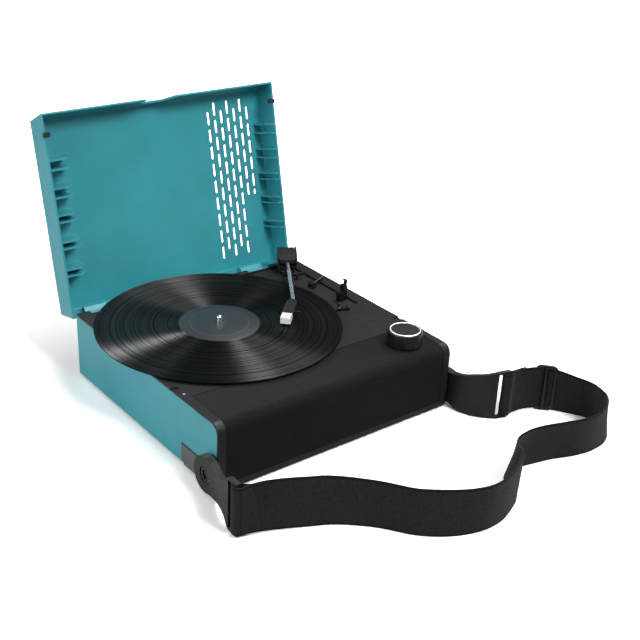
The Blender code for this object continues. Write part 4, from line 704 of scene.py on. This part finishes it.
CAMERA_PLACE, CAMERA_LENS = Vector((-0.6900, -0.9558, 0.6695)), 60.8
CAMERA_BEARING, CAMERA_TILT, CAMERA_ROLL = math.radians(-39.26), math.radians(25.88), math.radians(2.79)
SENSOR_WIDTH, CLIP_END = 36, 50
WORLD_FILL, WORLD_SHINE = 0.25, 0.16
FLOOR_SEEN, FLOOR_BOUNCE, FLOOR_SHINE, FLOOR_FADE = 1.55, 0.25, 0.8, 0.55
FLOOR_HALF, FLOOR_DROP = 8, 0.05 * MM
LIGHTS = (  # name, place, aim, size, power, whether it only adds shine
    ("key", (0.35, -1.5, 1.85), (0, 0.1, 0.14), 0.8, 46, False),
    ("top right", (1.15, 0.2, 1.5), (0, 0.05, 0.08), 0.6, 14, False),
    ("left", (-1.9, 0.1, 0.7), (-0.15, -0.05, 0.12), 0.7, 23, False),
    ("groove shine top", (0.55, -0.05, 1.7), (0, 0.03, 0.08), 0.35, 30, True),
    ("groove shine back left", (-1.1, 1.75, 1.15), (-0.1, 0.03, 0.08), 0.45, 110, True),
)


def camera():
    data = bpy.data.cameras.new("camera")
    data.lens = CAMERA_LENS
    data.sensor_width = SENSOR_WIDTH
    data.clip_end = CLIP_END
    obj = bpy.data.objects.new("camera", data)
    bpy.context.scene.collection.objects.link(obj)
    back = Vector((math.sin(CAMERA_BEARING) * math.cos(CAMERA_TILT),
                   -math.cos(CAMERA_BEARING) * math.cos(CAMERA_TILT), math.sin(CAMERA_TILT)))
    right = Vector((0, 0, 1)).cross(back).normalized()
    up = back.cross(right)
    c, s = math.cos(CAMERA_ROLL), math.sin(CAMERA_ROLL)
    right, up = right * c + up * s, up * c - right * s
    obj.matrix_world = Matrix.Translation(CAMERA_PLACE) @ Matrix((right, up, back)).transposed().to_4x4()
    bpy.context.scene.camera = obj


def area_light(name, place, aim, size, power, only_shine):
    data = bpy.data.lights.new(name, "AREA")
    data.size = size
    data.energy = power
    obj = bpy.data.objects.new(name, data)
    obj.visible_diffuse = not only_shine
    bpy.context.scene.collection.objects.link(obj)
    obj.location = place
    obj.rotation_euler = (Vector(aim) - Vector(place)).to_track_quat("-Z", "Y").to_euler()


def by_ray(tree, cases, other):
    """A value that differs with the kind of ray that asks for it."""
    path = tree.nodes.new("ShaderNodeLightPath")
    value = other
    for kind, amount in cases:
        choice = tree.nodes.new("ShaderNodeMix")
        choice.data_type = "FLOAT"
        tree.links.new(path.outputs[kind], choice.inputs[0])
        if isinstance(value, bpy.types.NodeSocket):
            tree.links.new(value, choice.inputs[2])
        else:
            choice.inputs[2].default_value = value
        choice.inputs[3].default_value = amount
        value = choice.outputs[0]
    return value


def world():
    """A backdrop that looks white but sheds little light and little shine."""
    scene_world = bpy.data.worlds.new("studio")
    scene_world.use_nodes = True
    bpy.context.scene.world = scene_world
    tree = scene_world.node_tree
    background = tree.nodes["Background"]
    background.inputs["Color"].default_value = WHITE
    strength = by_ray(tree, (("Is Glossy Ray", WORLD_SHINE), ("Is Camera Ray", 1.0)), WORLD_FILL)
    tree.links.new(strength, background.inputs["Strength"])


def studio():
    """A pale floor that shows shadows near the object and fades to plain white beyond it, and soft lights."""
    world()
    floor = Shader("pale floor", (0.93, 0.93, 0.93), 0.9, specular=0.0)
    level = by_ray(floor.tree, (("Is Glossy Ray", FLOOR_SHINE), ("Is Camera Ray", FLOOR_SEEN)), FLOOR_BOUNCE)
    tone = floor.maths("MULTIPLY", level, floor.ramp(floor.noise(3, 2), 0.3, 0.7, 0.98, 1.0))
    floor.set("Base Color", floor.node("ShaderNodeCombineColor", {0: tone, 1: tone, 2: tone}).outputs[0])
    seen = floor.node("ShaderNodeLightPath").outputs["Is Camera Ray"]
    far = floor.ramp(floor.length(floor.place()), FLOOR_FADE, 2 * FLOOR_FADE)
    floor.set("Emission Color", WHITE)
    floor.set("Emission Strength", floor.maths("MULTIPLY", seen, far))
    bm = bmesh.new()
    for x, y in ((-1, -1), (1, -1), (1, 1), (-1, 1)):
        bm.verts.new((x * FLOOR_HALF, y * FLOOR_HALF, FLOOR_Z - FLOOR_DROP))
    bm.faces.new(bm.verts[:])
    piece("studio_floor", bm, floor.mat, None)
    for light in LIGHTS:
        area_light(*light)
    bpy.context.scene.view_settings.view_transform = "Standard"


def main():
    materials = make_materials()
    finish_cad(materials)
    record_prop(materials)
    speaker_cloth(materials)
    carry_strap(materials)
    camera()
    studio()


main()
